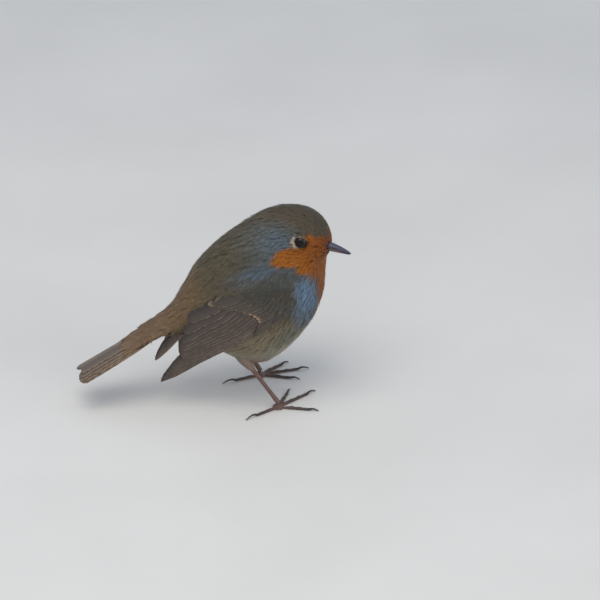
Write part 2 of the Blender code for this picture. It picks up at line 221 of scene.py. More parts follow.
# %% [markdown]
# ## The markings
# A robin's colours follow its body: an orange face and breast, edged with blue-grey, an
# olive-brown crown and back, a pale belly and brown thighs. Skin and feathers must agree on
# them, so they are one shader group. Each patch of colour is an oval field in the body or in
# the head: where a place falls inside the oval, that colour shows. A little noise moves the
# places first, so that the edges are ragged as feathers make them. The two sides are mirror
# images, so the fields read how far out a place is, not left or right.
# %% Fields of colour
def maths(tree, operation, *values, kind="Math"):
    made = node(tree, kind, operation=operation)
    for socket, value in zip(made.inputs, values):
        feed(tree, socket, value)
    return made.outputs[0]


def mixed(tree, share, below, above):
    """Colour above laid over colour below by share."""
    made = node(tree, "Mix", data_type="RGBA")
    for i, value in ((0, share), (6, below), (7, above)):
        feed(tree, made.inputs[i], value)
    return made.outputs[2]


def mirrored(tree, place):
    """The place with its sideways part made positive."""
    parts = node(tree, "SeparateXYZ", vector=place)
    out = maths(tree, "ABSOLUTE", parts.outputs["Y"])
    return node(tree, "CombineXYZ", x=parts.outputs["X"], y=out, z=parts.outputs["Z"]).outputs[0]


def fitted(tree, place, centre, scale=(1.0, 1.0, 1.0), turn=(0.0, 0.0, 0.0)):
    """A place as read in a frame with its own centre, scale and turn."""
    made = node(tree, "Mapping", vector_type="TEXTURE", vector=place)
    for name, value in (("Location", centre), ("Rotation", turn), ("Scale", scale)):
        made.inputs[name].default_value = value
    return made.outputs[0]


def ranged(tree, value, start, end, low=0.0, high=1.0, soft=True):
    """Turns the range from start to end into the range from low to high."""
    made = node(tree, "MapRange", value=value)
    made.interpolation_type = "SMOOTHSTEP" if soft else "LINEAR"
    for name, limit in zip(("From Min", "From Max", "To Min", "To Max"), (start, end, low, high)):
        made.inputs[name].default_value = limit
    return made.outputs["Result"]


def oval(tree, place, centre, radii, soft, tilt=0.0, strength=1.0):
    """Near strength inside the oval and 0 outside; soft is the width of its edge, as a share."""
    fit = fitted(tree, place, centre, radii, (0.0, math.radians(tilt), 0.0))
    far = node(tree, "VectorMath", operation="LENGTH", vector=fit)
    return ranged(tree, far.outputs["Value"], 1.0 - soft, 1.0 + soft, strength, 0.0)


print("field helpers:", [f.__name__ for f in (mirrored, fitted, ranged, oval)])

# %% [markdown]
# Inside the group a place is told in the body's millimetres and in the head's, both of them
# ragged by the noise. The ring behind the eye needs a sharp edge, so it skips the noise.
# %% Frames of the markings
RAGGED = 1.5  # how far the noise moves a place, in millimetres


def new_group(name, inputs, outputs):
    """An empty shader group, with the sockets that lead into it and out of it."""
    group = bpy.data.node_groups.new(name, "ShaderNodeTree")
    for way, sockets in (("INPUT", inputs), ("OUTPUT", outputs)):
        for socket, kind in sockets.items():
            group.interface.new_socket(socket, in_out=way, socket_type="NodeSocket" + kind)
    given, result = (group.nodes.new("NodeGroup" + end) for end in ("Input", "Output"))
    return group, given.outputs, result.inputs


markings, given, result = new_group("robin markings", {"Place": "Vector"}, {"Colour": "Color"})
tree = markings
centred = fitted(tree, given["Place"], ORIGIN, (MM, MM, MM))
rough = node(tree, "TexNoise", vector=centred, scale=0.35, detail=2.0)
nudge = maths(tree, "MULTIPLY_ADD", rough.outputs["Color"], (2 * RAGGED,) * 3, (-RAGGED,) * 3,
              kind="VectorMath")
moved = maths(tree, "ADD", centred, nudge, kind="VectorMath")


def head_frame(place):
    return mirrored(tree, fitted(tree, place, HEAD_PIVOT, turn=(0.0, 0.0, HEAD_TURN)))


body, head, exact_head = mirrored(tree, moved), head_frame(moved), head_frame(centred)
print("frames: body, and the head turned by", round(math.degrees(HEAD_TURN)), "degrees")

# %% [markdown]
# Each row is one oval: its colour, centre, radii, the softness of its edge, its tilt in
# degrees and its strength. Later rows lie over earlier ones. The shoulder is dusky above and
# below a bluish streak of painted sheen, and a clear blue patch lies beside the breast.
# %% The ovals
OLIVE_BACK = paint(94, 85, 66)
CROWN = paint(86, 76, 62)
RUMP = paint(124, 100, 72)
TAIL_COVERTS = paint(134, 106, 78)
BLUE_GREY = paint(100, 113, 126)
CLEAR_BLUE = paint(111, 135, 158)
PAINTED_SHOULDER_SHEEN = paint(88, 103, 116)
SHOULDER_DUSK = paint(72, 72, 66)
FLANK_OLIVE = paint(118, 116, 98)
NECK_GREY = paint(88, 97, 99)
PALE_BELLY = paint(174, 169, 154)
BUFF_FLANK = paint(136, 124, 100)
THIGH_BROWN = paint(144, 122, 106)
ORANGE = paint(163, 95, 24)
DEEP_ORANGE = paint(145, 78, 14)
EYE_RING = paint(196, 184, 162)

BODY_FIELDS = (
    (BUFF_FLANK, (-6.0, 14.0, 30.0), (26.0, 14.0, 18.0), 0.35, 0.0, 0.9),
    (PALE_BELLY, (2.0, 0.0, 24.0), (30.0, 19.0, 19.0), 0.35, 0.0, 1.0),
    (THIGH_BROWN, (-8.0, 13.0, 20.5), (9.0, 7.0, 8.0), 0.6, 0.0, 0.9),
    (RUMP, (-38.0, 0.0, 50.0), (14.0, 18.0, 16.0), 0.5, 0.0, 0.9),
    (TAIL_COVERTS, (-60.0, 0.0, 36.0), (20.0, 14.0, 11.0), 0.35, -30.0, 0.9),
    (PALE_BELLY, (-52.0, 0.0, 25.0), (22.0, 9.0, 7.0), 0.35, -30.0, 0.9),
    (FLANK_OLIVE, (7.0, 16.5, 37.5), (10.0, 6.0, 5.0), 0.6, -37.0, 0.85),
    (BLUE_GREY, (16.0, 15.0, 52.0), (9.0, 9.0, 14.5), 0.35, -20.0, 0.95),
    (CLEAR_BLUE, (15.3, 16.0, 57.0), (4.5, 6.0, 9.0), 0.6, -20.0, 0.9),
    (SHOULDER_DUSK, (-6.0, 17.0, 74.5), (12.0, 8.0, 4.5), 0.6, -12.0, 0.5),
    # a bluish streak of painted sheen across the shoulder
    (PAINTED_SHOULDER_SHEEN, (-5.5, 19.5, 69.2), (12.0, 9.0, 3.4), 0.7, -17.0, 0.8),
    (SHOULDER_DUSK, (2.5, 20.5, 64.4), (13.5, 9.0, 4.2), 0.5, -15.0, 0.95),
)
HEAD_FIELDS = (
    (CROWN, (2.0, 0.0, 90.0), (16.0, 11.0, 8.0), 0.4, 0.0, 0.8),
    (NECK_GREY, (-5.0, 15.0, 75.0), (14.0, 8.0, 13.0), 0.7, 20.0, 0.95),
    (BLUE_GREY, (-3.0, 15.0, 77.0), (8.0, 5.0, 8.0), 0.7, 20.0, 0.6),
)
colour = OLIVE_BACK
for place, fields in ((body, BODY_FIELDS), (head, HEAD_FIELDS)):
    for tone, *shape in fields:
        colour = mixed(tree, oval(tree, place, *shape), colour, tone)
print("fields:", len(BODY_FIELDS), "on the body,", len(HEAD_FIELDS), "on the head")

# %% [markdown]
# The orange is the largest value of its own ovals, so that they melt into one patch. It is
# deeper in the middle of face and breast. The pale half ring behind the eye comes last.
# %% Orange face and breast
ORANGE_OVALS = (  # the frame, centre, radii, softness and tilt of each
    (head, (12.0, 0.0, 72.4), (11.0, 12.5, 7.6), 0.14, 8.0),
    (head, (8.6, 10.0, 79.2), (6.2, 5.4, 4.2), 0.17, 0.0),
    (head, (13.0, 5.0, 77.0), (5.0, 5.0, 4.6), 0.17, 0.0),
    (head, (1.6, 14.0, 74.2), (11.0, 8.0, 4.2), 0.17, -8.0),
    (head, (8.5, 9.5, 69.7), (8.0, 6.5, 4.6), 0.17, 0.0),
    (body, (16.5, 0.0, 66.0), (14.0, 14.6, 8.6), 0.17, 0.0),
    (body, (20.0, 0.0, 58.0), (12.0, 11.6, 13.0), 0.17, 0.0),
    (body, (22.0, 0.0, 46.0), (10.0, 8.6, 8.0), 0.22, 0.0),
)
orange = 0.0
for place, *shape in ORANGE_OVALS:
    orange = maths(tree, "MAXIMUM", oval(tree, place, *shape), orange)
deeper = maths(tree, "MAXIMUM", oval(tree, head, (14.0, 0.0, 78.0), (9.0, 12.0, 6.0), 0.5),
               oval(tree, body, (24.0, 0.0, 52.0), (9.0, 12.0, 12.0), 0.5))
colour = mixed(tree, orange, colour, mixed(tree, deeper, ORANGE, DEEP_ORANGE))
ring_at = np.abs(in_head(EYES[0])) + (-1.1, 1.0, 0.1)
ring = oval(tree, exact_head, ring_at, (3.1, 3.0, 2.75), 0.12, 0.0, 0.92)
colour = mixed(tree, ring, colour, EYE_RING)
tree.links.new(colour, result["Colour"])
print("markings group:", len(tree.nodes), "nodes")

# %% [markdown]
# ## The skin
# Under the plumage a robin has one continuous skin. The six solids of flesh are joined here:
# each is grown a little so that the saw cuts between them close, and a voxel remesh makes
# one closed surface of them. The surface is smoothed and then sinks in by the depth of the
# coat, which is thin at the bill, the eye, the heel and the tail, and thick on the breast.
# %% Meshes as arrays
FLESH = ("rump", "trunk", "neck", "head", "thigh_right", "thigh_left")
GROWN = 0.35


def mesh_arrays(mesh):
    """A mesh's vertices in millimetres, and its triangles."""
    mesh.calc_loop_triangles()
    places = np.empty(len(mesh.vertices) * 3)
    triangles = np.empty(len(mesh.loop_triangles) * 3, dtype=np.int32)
    mesh.vertices.foreach_get("co", places)
    mesh.loop_triangles.foreach_get("vertices", triangles)
    return to_mm(places.reshape(-1, 3)), triangles.reshape(-1, 3)


def made_object(name, places, faces, surface=None):
    """A new smooth object from places in millimetres."""
    mesh = bpy.data.meshes.new(name)
    if isinstance(faces, np.ndarray):
        count, corners = faces.shape
        mesh.vertices.add(len(places))
        mesh.vertices.foreach_set("co", to_scene(places).astype(np.float32).ravel())
        mesh.loops.add(count * corners)
        mesh.loops.foreach_set("vertex_index", faces.astype(np.int32).ravel())
        mesh.polygons.add(count)
        mesh.polygons.foreach_set("loop_start", np.arange(count, dtype=np.int32) * corners)
        mesh.update(calc_edges=True)
    else:
        mesh.from_pydata(to_scene(places).tolist(), [], faces)
    mesh.shade_smooth()
    made = bpy.data.objects.new(name, mesh)
    scene.collection.objects.link(made)
    if surface:
        mesh.materials.append(surface)
    return made


def joined(parts):
    """Several (places, faces) as one."""
    starts = np.cumsum([0] + [len(places) for places, _ in parts])
    faces = [faces + start for (_, faces), start in zip(parts, starts)]
    return np.concatenate([places for places, _ in parts]), np.concatenate(faces)


print("the trunk's solid:", len(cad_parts["trunk"].data.vertices), "vertices")

# %% [markdown]
# Smoothing moves values between neighbours, and the normals tell which way is outwards.
# %% Neighbours and normals
def neighbours(triangles):
    """Each edge once, as pairs of vertex numbers."""
    pairs = np.concatenate([triangles[:, [0, 1]], triangles[:, [1, 2]], triangles[:, [2, 0]]])
    return np.unique(np.sort(pairs, axis=1), axis=0)


def smoothed(values, edges, rounds):
    """In each round a vertex's value moves half way to the mean of its neighbours."""
    count = np.bincount(edges.ravel(), minlength=len(values)).astype(float)[:, None]
    for _ in range(rounds):
        total = np.zeros_like(values)
        for axis in range(values.shape[1]):
            total[:, axis] = (np.bincount(edges[:, 0], values[edges[:, 1], axis], len(values))
                              + np.bincount(edges[:, 1], values[edges[:, 0], axis], len(values)))
        values = (values + total / np.maximum(count, 1)) / 2
    return values


def unit(vectors):
    return vectors / np.maximum(np.linalg.norm(vectors, axis=-1, keepdims=True), 1e-9)


def normals_of(places, triangles):
    corner = places[triangles]
    face = np.cross(corner[:, 1] - corner[:, 0], corner[:, 2] - corner[:, 0])
    total = np.zeros_like(places)
    for axis in range(3):
        for k in range(3):
            total[:, axis] += np.bincount(triangles[:, k], face[:, axis], len(places))
    return unit(total)


print("edges of a single triangle:", len(neighbours(np.array([[0, 1, 2]]))))

# %% [markdown]
# A remesh may leave small pockets inside, so only the largest connected surface is kept.
# %% Growing and joining solids
def grown(names, by):
    """The solids of several nodes together, each grown along its normals, in millimetres."""
    parts = []
    for name in names:
        places, triangles = mesh_arrays(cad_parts[name].data)
        _, first, number = np.unique(np.round(places, 3), axis=0, return_index=True,
                                     return_inverse=True)
        places, triangles = places[first], number.ravel()[triangles]
        parts.append((places + normals_of(places, triangles) * by, triangles))
    return joined(parts)


def remeshed(places, triangles, voxel):
    """One closed surface around everything, without its inner pockets."""
    rough_object = made_object("rough", places, triangles)
    shell = rough_object.modifiers.new("shell", "REMESH")
    shell.mode, shell.voxel_size = "VOXEL", voxel * MM
    whole = rough_object.evaluated_get(bpy.context.evaluated_depsgraph_get()).to_mesh()
    places, triangles = mesh_arrays(whole)
    bpy.data.objects.remove(rough_object)
    group = np.arange(len(places))  # in the end, the lowest number that a vertex is joined to
    edges = neighbours(triangles)
    while True:
        low = np.minimum(group[edges[:, 0]], group[edges[:, 1]])
        lower = group.copy()
        np.minimum.at(lower, edges[:, 0], low)
        np.minimum.at(lower, edges[:, 1], low)
        lower = lower[lower]
        if (lower == group).all():
            break
        group = lower
    groups, sizes = np.unique(group, return_counts=True)
    kept = group == groups[sizes.argmax()]
    number = np.cumsum(kept) - 1
    return places[kept], number[triangles[kept[triangles[:, 0]]]]


print("the head's solid, grown:", len(grown(["head"], GROWN)[0]), "vertices")

# %% [markdown]
# The coat's depth is a rule over the whole body. The bill's root, the eyes and the heels are
# the places where it thins out.
# %% Depth of the coat
def ramp(values, low, high):
    """0 below low, 1 above high, with soft ends."""
    t = np.clip((values - low) / (high - low), 0, 1)
    return t * t * (3 - 2 * t)


HEELS = [np.array((-9.3, side * 12.6, 23.3)) for _, side in SIDES]


def nearest(places, points):
    return np.min([np.linalg.norm(places - p, axis=-1) for p in points], axis=0)


def coat_depth(places):
    depth = 0.5 + 2.0 * ramp(np.linalg.norm(places - BILL_ROOT, axis=-1), 0.0, 34.0)
    depth = np.minimum(depth, 0.35 + 0.30 * np.maximum(nearest(places, EYES) - 2.6, 0))
    depth = np.minimum(depth, 0.7 + 0.16 * nearest(places, HEELS))
    return np.minimum(depth, 0.6 + 0.09 * np.maximum(places[..., 0] + 60, 0))


print("coat on the breast:", coat_depth(np.array((30.0, 0.0, 50.0))).round(2), "mm deep")

# %% [markdown]
# The joined flesh is smoothed, and it sinks in along its normals by the depth of the coat.
# %% The skin's surface
THIN_SHARE = 0.36  # where the flesh is thin, the coat takes up this share of its thickness
flesh, flesh_faces = remeshed(*grown(FLESH, GROWN), voxel=0.5)
edges = neighbours(flesh_faces)
flesh = smoothed(flesh, edges, 8)
normals = unit(smoothed(normals_of(flesh, flesh_faces), edges, 6))
flesh_tree = BVHTree.FromPolygons(flesh.tolist(), flesh_faces.tolist())
room = np.array([flesh_tree.ray_cast(Vector(p - n * 0.3), Vector(-n))[3] or 30.0
                 for p, n in zip(flesh, normals)])
depth = np.minimum(coat_depth(flesh) + GROWN, THIN_SHARE * room)
skin = smoothed(flesh - normals * depth[:, None], edges, 4)
skin_normals = unit(smoothed(normals_of(skin, flesh_faces), edges, 4))
skin_tree = BVHTree.FromPolygons(skin.tolist(), flesh_faces.tolist())
print("skin:", len(skin), "vertices, coat", depth.min().round(2), "to", depth.max().round(2), "mm")

# %% [markdown]
# The skin's own colour is the plumage's colour, darkened by painted shade, as it is only seen in
# the shaded gaps between feathers.
# %% Skin material and piece
def marked(tree, place):
    """The plumage's colour at a place, from the markings group."""
    group = tree.nodes.new("ShaderNodeGroup")
    group.node_tree = markings
    tree.links.new(place, group.inputs["Place"])
    return group.outputs["Colour"]


def joins_bird(piece, slot_name, *nodes):
    """A piece rides on the bird's one body and hides the nodes it replaces; slot_name is not used.
    """
    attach(piece, "root")
    if nodes:
        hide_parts(*nodes)


skin_material, tree, shader = material("skin", 0.8, 0.2)
plumage = marked(tree, node(tree, "TexCoord").outputs["Object"])
# the mix with dark brown is painted shade for the gaps between feathers
tree.links.new(mixed(tree, 0.35, plumage, paint(40, 36, 34)), shader.inputs["Base Color"])
skin_piece = made_object("skin", skin, flesh_faces, skin_material)
joins_bird(skin_piece, "plumage_back", *FLESH)
print("skin piece:", len(skin_piece.data.polygons), "faces")

# %% [markdown]
# ## How feathers are made
# A body feather is a small curved vane with loose barbs along its rim, and it overlaps the
# feathers behind it like a roof tile. Each one here is a solid thin vane of a few rows on a
# spine, with slender ribbons for the barbs, which soften its outline as real barbs do. All
# feathers of one piece are worked out together as arrays. Every vertex remembers the place
# that its colour is read at, how far along and across the feather it is, and its own tint,
# so that the shader can mark each feather by itself.
# %% Feather shader groups
barbs, given, result = new_group(
    "feather barbs", {"Along": "Float", "Across": "Float", "Count": "Float"},
    {"Height": "Float", "Shade": "Float"})
tree = barbs
sideways = maths(tree, "ABSOLUTE", given["Across"])
slanted = maths(tree, "SUBTRACT", given["Along"], maths(tree, "MULTIPLY", sideways, 0.16))
phase = maths(tree, "MULTIPLY", maths(tree, "MULTIPLY", slanted, given["Count"]), 6.2832)
wave = maths(tree, "ADD", maths(tree, "MULTIPLY", maths(tree, "SINE", phase), 0.5), 0.5)
tree.links.new(wave, result["Height"])
tree.links.new(maths(tree, "ADD", maths(tree, "MULTIPLY", wave, 0.16), 0.88), result["Shade"])


def attribute(tree, name, output="Fac"):
    return node(tree, "Attribute", attribute_name=name).outputs[output]


def scaled(tree, tone, amount):
    """A colour made darker or lighter by a value."""
    return node(tree, "VectorMath", operation="SCALE", vector=tone, scale=amount).outputs[0]


def raised(tree, shader, height, strength, distance):
    """Relief from a height; distance is in millimetres."""
    bump = node(tree, "Bump", strength=strength, distance=distance * MM, height=height)
    tree.links.new(bump.outputs[0], shader.inputs["Normal"])


def feathered(tree, shader, tone, count, strength, distance, root_light=1.0, tip_light=1.0):
    """Colours a feather: its tone, barbs with their relief, own tint, and a shaded root."""
    group = tree.nodes.new("ShaderNodeGroup")
    group.node_tree = barbs
    group.inputs["Count"].default_value = count
    along = attribute(tree, "along")
    tree.links.new(along, group.inputs["Along"])
    tree.links.new(attribute(tree, "across"), group.inputs["Across"])
    raised(tree, shader, group.outputs["Height"], strength, distance)
    light = group.outputs["Shade"]
    # the darker root is partly the feather's own grey down and partly painted shade under the
    # feathers that overlap it
    if root_light < 1:
        fade = ranged(tree, along, 0.1, 0.9, root_light, tip_light, soft=False)
        light = maths(tree, "MULTIPLY", fade, light)
    light = maths(tree, "MULTIPLY", light, attribute(tree, "tint"))
    tree.links.new(scaled(tree, tone, light), shader.inputs["Base Color"])


print("barbs group:", len(barbs.nodes), "nodes")

# %% [markdown]
# Body feathers take the markings' colour at the place where they lie. The wing's small
# coverts keep the back's olive, a little greyer, and are duskiest under the scapulars.
# %% Materials of the coat
coat_material, tree, shader = material("body feathers", 0.62, 0.25)
shader.inputs["Sheen Weight"].default_value = 0.12
shader.inputs["Sheen Roughness"].default_value = 0.5
plumage = marked(tree, attribute(tree, "place", "Vector"))
feathered(tree, shader, plumage, 12.0, 0.3, 0.05, 0.6, 1.05)

wing_coat, tree, shader = material("wing coverts", 0.55, 0.3)
wing_place = mirrored(tree, fitted(tree, attribute(tree, "place", "Vector"), ORIGIN, (MM, MM, MM)))
dusk = oval(tree, wing_place, (1.0, 21.0, 64.0), (13.0, 9.0, 4.5), 0.5, -15.0, 0.9)
low_edge = oval(tree, wing_place, (6.0, 22.0, 46.0), (18.0, 12.0, 8.0), 0.5, 35.0, 0.7)
tone = mixed(tree, low_edge, paint(84, 76, 64), paint(84, 82, 79))
feathered(tree, shader, mixed(tree, dusk, tone, SHOULDER_DUSK), 12.0, 0.5, 0.05, 0.5, 1.06)
print("materials:", [m.name for m in (coat_material, wing_coat)])

# %% [markdown]
# Each feather has the same rows, from its root at 0 to its tip at 1, and a share of its full
# width at each. A map for baking unwraps the bird like a cylinder around a bent middle line.
# %% Rows, attributes and the map
ROWS = np.array((0.0, 0.3, 0.55, 0.75, 0.9, 1.0))
WIDTHS = np.array((0.25, 0.75, 0.95, 0.80, 0.45, 0.06))
AXIS = np.array(((62, 0, 74), (40, 0, 78), (18, 0, 78), (4, 0, 62), (-14, 0, 52), (-36, 0, 44),
                 (-60, 0, 32), (-96, 0, 12)), dtype=float)


def unwrapped(places):
    """A cylinder unwrap of the bird: how far along its middle line, and the angle around it."""
    best = np.full(len(places), 1e9)
    uv = np.zeros((len(places), 2))
    start = 0.0
    for a, b in zip(AXIS[:-1], AXIS[1:]):
        step = b - a
        length = np.linalg.norm(step)
        t = np.clip((places - a) @ step / length ** 2, 0, 1)
        away = places - (a + t[:, None] * step)
        upward = np.cross(step / length, (0, 1, 0))
        near = np.linalg.norm(away, axis=1) < best
        best[near] = np.linalg.norm(away, axis=1)[near]
        uv[near, 0] = (start + t[near] * length) / 200
        uv[near, 1] = 0.5 + np.arctan2(away[near, 1], away[near] @ upward) / 6.4
        start += length
    return uv


def store(made, name, values):
    """Keeps a value at every vertex: one number, or a place."""
    kind, key = ("FLOAT_VECTOR", "vector") if name == "place" else ("FLOAT", "value")
    data = made.data.attributes.new(name, kind, "POINT").data
    data.foreach_set(key, np.asarray(values, dtype=np.float32).ravel())


def bake_map(made, uv):
    layer = made.data.uv_layers.new(name="OFBake")
    corner = np.empty(len(made.data.loops), dtype=np.int32)
    made.data.loops.foreach_get("vertex_index", corner)
    layer.data.foreach_set("uv", uv[corner].astype(np.float32).ravel())


def sheet_quads(rows, columns):
    """The faces of a sheet of vertices."""
    grid = np.arange(rows * columns).reshape(rows, columns)
    corners = (grid[:-1, :-1], grid[:-1, 1:], grid[1:, 1:], grid[1:, :-1])
    return np.stack(corners, -1).reshape(-1, 4)


print("rows of a feather:", len(ROWS))

# %% [markdown]
# The barbs leave the shaft at a slant that lessens towards the tip. Every one is a ribbon of
# five vertices that narrows to a point and bends up or down a little.
# %% Barbs of body feathers
RIBBON = 5


def barb_points(spine, out, lift, widths, rng, count, reach):
    """Where each loose barb begins, which way it points, how long it is, how it bends."""
    n, rows = spine.shape[:2]
    t = np.linspace(0.22, 1.0, count)[None, :] + rng.uniform(-0.03, 0.03, (n, count))
    t = np.clip(t, 0, 1)
    sign = np.where(np.arange(count) % 2 == 0, -1.0, 1.0)
    inner = rng.uniform(0.0, 0.35, (n, count)) * sign
    row = np.clip(np.searchsorted(ROWS, t, side="right") - 1, 0, rows - 2)
    part = (t - ROWS[row]) / (ROWS[row + 1] - ROWS[row])
    at = np.arange(n)[:, None]

    def between(values):
        return values[at, row] * (1 - part[..., None]) + values[at, row + 1] * part[..., None]

    start, out, up = between(spine), unit(between(out)), unit(between(lift))
    ahead = unit(spine[at, row + 1] - spine[at, row])
    width = (WIDTHS[row] * (1 - part) + WIDTHS[row + 1] * part) * widths[:, None]
    length = widths[:, None] * reach * rng.uniform(0.75, 1.1, (n, count))
    slant = np.radians(rng.uniform(34, 50, (n, count))) * (1.15 - 0.95 * t)
    start = start + out * (inner * width)[..., None] + up * 0.02
    aim = ahead * np.cos(slant)[..., None] + out * (np.sin(slant) * sign)[..., None]
    bend = up * rng.uniform(-0.10, 0.16, (n, count))[..., None]
    return start, aim, unit(np.cross(up, aim)), length[..., None], t, inner, bend


print("vertices of a body feather:", 3 * len(ROWS) + 36 * RIBBON)

# %% [markdown]
# A feather is a whole vane in its middle, cupped a little, with the barbs around it.
# %% Body feathers
CUP = 0.14  # how far the edges of a feather drop, as a share of its half width
SOLID = 0.62  # the share of its width that is whole vane, without loose barbs


def feather_sheet(spine, lift, widths):
    """The whole vanes, three vertices wide, with their outward and upward directions."""
    ahead = unit(np.gradient(spine, axis=1))
    out = unit(np.cross(lift, ahead))
    up = np.cross(ahead, out)
    half = (WIDTHS[None, :] * widths[:, None] * SOLID)[..., None]
    drop = up * (CUP * half + 0.03)
    sheet = np.stack([spine - out * half - drop, spine, spine + out * half - drop], axis=2)
    return sheet.reshape(len(spine), -1, 3), out, up


def feathers(name, spine, lift, widths, surface, seed, barb_count=36, reach=1.15, thick=0.032):
    """One mesh of many feathers, from their spines (feather, row, xyz) in millimetres."""
    rng = np.random.default_rng(seed)
    n, rows = spine.shape[:2]
    sheet, out, up = feather_sheet(spine, lift, widths)
    start, aim, flat, length, t, inner, bend = barb_points(
        spine, out, up, widths, rng, barb_count, reach)
    steps = []
    for share, thin in ((0.0, 1.0), (0.55, 0.8)):
        middle = start + aim * (length * share) + bend * share ** 2 * length
        steps += [middle - flat * thick * thin, middle + flat * thick * thin]
    steps.append(start + aim * length + bend * length)
    ribbons = np.stack(steps, axis=2).reshape(n, -1, 3)
    places = np.concatenate([sheet, ribbons], axis=1)
    count, per = rows * 3, places.shape[1]
    quads = sheet_quads(rows, 3)
    first = count + np.arange(barb_count)[:, None, None] * RIBBON
    ribbon_faces = (first + np.array(((0, 1, 3), (0, 3, 2), (2, 3, 4)))).reshape(-1, 3)
    faces = np.concatenate([quads[:, [0, 1, 2]], quads[:, [0, 2, 3]], ribbon_faces])
    all_faces = (faces[None] + np.arange(n)[:, None, None] * per).reshape(-1, 3)
    made = made_object(name, places.reshape(-1, 3), all_faces, surface)

    along = np.tile(np.repeat(ROWS, 3), (n, 1))
    across = np.tile((-1.0, 0.0, 1.0), (n, rows))
    along = np.concatenate([along, np.repeat(t + 0.15, RIBBON, axis=1)], axis=1)
    across = np.concatenate([across, np.repeat(inner, RIBBON, axis=1)], axis=1)
    tint = rng.normal(1.0, 0.04, n)[:, None]
    barb_tint = np.repeat(rng.normal(1.03, 0.07, (n, barb_count)), RIBBON, axis=1)
    tint = np.concatenate([np.repeat(tint, count, axis=1), tint * barb_tint], axis=1)
    colour_at = np.concatenate([sheet, np.repeat(start, RIBBON, axis=1)], axis=1)
    colour_at = colour_at + rng.normal(0, 0.35, (n, 1, 3))
    for key, values in (("along", along), ("across", across), ("tint", tint),
                        ("place", to_scene(colour_at))):
        store(made, key, values)
    along[:, count:] += np.tile((0.0, 0.0, 0.12, 0.12, 0.24), barb_count)
    across[:, count:] += np.tile((-0.15, 0.15, -0.12, 0.12, 0.0), barb_count)
    patch = np.stack([along.ravel() - 0.6, across.ravel() * 0.5], axis=1) * 0.003
    bake_map(made, np.repeat(unwrapped(spine[:, 2]), per, axis=0) + patch)
    return made


print("whole vane:", round(100 * SOLID), "percent of a feather's width")

# %% [markdown]
# ## The folded wing
# The folded wing lies against the side as a nearly flat fan, so that it is easiest to draw
# in its own plane: how far back from the bend of the wing, and how far up across it. The
# solid wing tells how far out its surface lies at each place, and every feather is laid on
# that surface at its own depth, so that the fan stacks up without feathers crossing.
# %% The wing's plane
wing_places, wing_faces = grown([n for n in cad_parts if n.startswith("wing_")], 0.0)
wing_tree = BVHTree.FromPolygons(wing_places.tolist(), wing_faces.tolist())
WRIST = (10.5, 55.7)
SLOPE = math.atan2(40.1, 60.3)
COS, SIN = math.cos(SLOPE), math.sin(SLOPE)
BACKS, UPS = np.arange(-14.0, 86.0, 1.0), np.arange(-14.0, 36.0, 1.0)


def wing_xz(back, up, start=WRIST):
    return start[0] - back * COS - up * SIN, start[1] - back * SIN + up * COS


def blurred(field, rounds):
    for _ in range(rounds):
        wide = np.pad(field, 1, mode="edge")
        field = (wide[1:-1, 1:-1] * 4 + wide[:-2, 1:-1] + wide[2:, 1:-1]
                 + wide[1:-1, :-2] + wide[1:-1, 2:]) / 8
    return field


def side_grid(surface):
    """How far out a surface lies at each place of the plane; unknown where it isn't met."""
    out = np.full((len(BACKS), len(UPS)), np.nan)
    for i, back in enumerate(BACKS):
        for j, up in enumerate(UPS):
            x, z = wing_xz(back, up)
            hit = surface.ray_cast(Vector((x, -60, z)), Vector((0, 1, 0)), 58.0)[0]
            if hit:
                out[i, j] = -hit.y
    return out


def carried_on(field):
    """Fills the unknown places from their neighbours, step by step outwards."""
    while np.isnan(field).any():
        wide = np.pad(field, 1, constant_values=np.nan)
        near = np.stack([wide[:-2, 1:-1], wide[2:, 1:-1], wide[1:-1, :-2], wide[1:-1, 2:]])
        known = (~np.isnan(near)).sum(axis=0)
        mean = np.where(known, np.nansum(near, axis=0) / np.maximum(known, 1), np.nan)
        field = np.where(np.isnan(field), mean, field)
    return field


field, body_field = side_grid(wing_tree), side_grid(flesh_tree) - GROWN
in_wing, on_body = ~np.isnan(field), ~np.isnan(body_field)
print("wing and body from the side:", int(in_wing.sum()), int(on_body.sum()), "places")

# %% [markdown]
# Along its upper rim the wing sinks to just outside the body, so that the scapulars can
# cover it. One more surface runs over wing and body alike, and carries the scapulars.
# %% The wing's surface
field = carried_on(field)
tops = np.array([UPS[row].max() if row.any() else -99.0 for row in in_wing])
to_rim = ramp(tops[:, None] - UPS[None, :], 7.0, 0.5) * ramp(BACKS[:, None], 52.0, 40.0)
tucked = body_field + 0.25 + 0.65 * ramp(BACKS[:, None], 20.0, 34.0)
close = np.minimum(field, np.where(on_body, tucked, 99.0))
field = field + (close - field) * to_rim
wing_field = blurred(field, 3)
wing_mask = blurred(in_wing.astype(float), 2)
rim_share = blurred(in_wing.astype(float), 12)
side_field = np.where(in_wing, field, np.where(on_body, body_field, 10.0))
side_field = blurred(np.where(in_wing & on_body, np.maximum(field, body_field), side_field), 4)


def sampled(grid, back, up):
    """Reads a grid between its places."""
    i = np.clip(back - BACKS[0], 0, len(BACKS) - 1.001)
    j = np.clip(up - UPS[0], 0, len(UPS) - 1.001)
    a, b = np.floor(i).astype(int), np.floor(j).astype(int)
    s, t = i - a, j - b
    return (grid[a, b] * (1 - s) * (1 - t) + grid[a + 1, b] * s * (1 - t)
            + grid[a, b + 1] * (1 - s) * t + grid[a + 1, b + 1] * s * t)


def on_wing(back, up, deep, side, surface=wing_field):
    """A place deep millimetres under the wing's surface; side is -1 for the right wing."""
    x, z = wing_xz(back, up)
    return np.stack([x, side * (sampled(surface, back, up) - deep), z], axis=-1)


print("bend of the wing:", on_wing(0.0, 0.0, 0.0, -1).round(1))

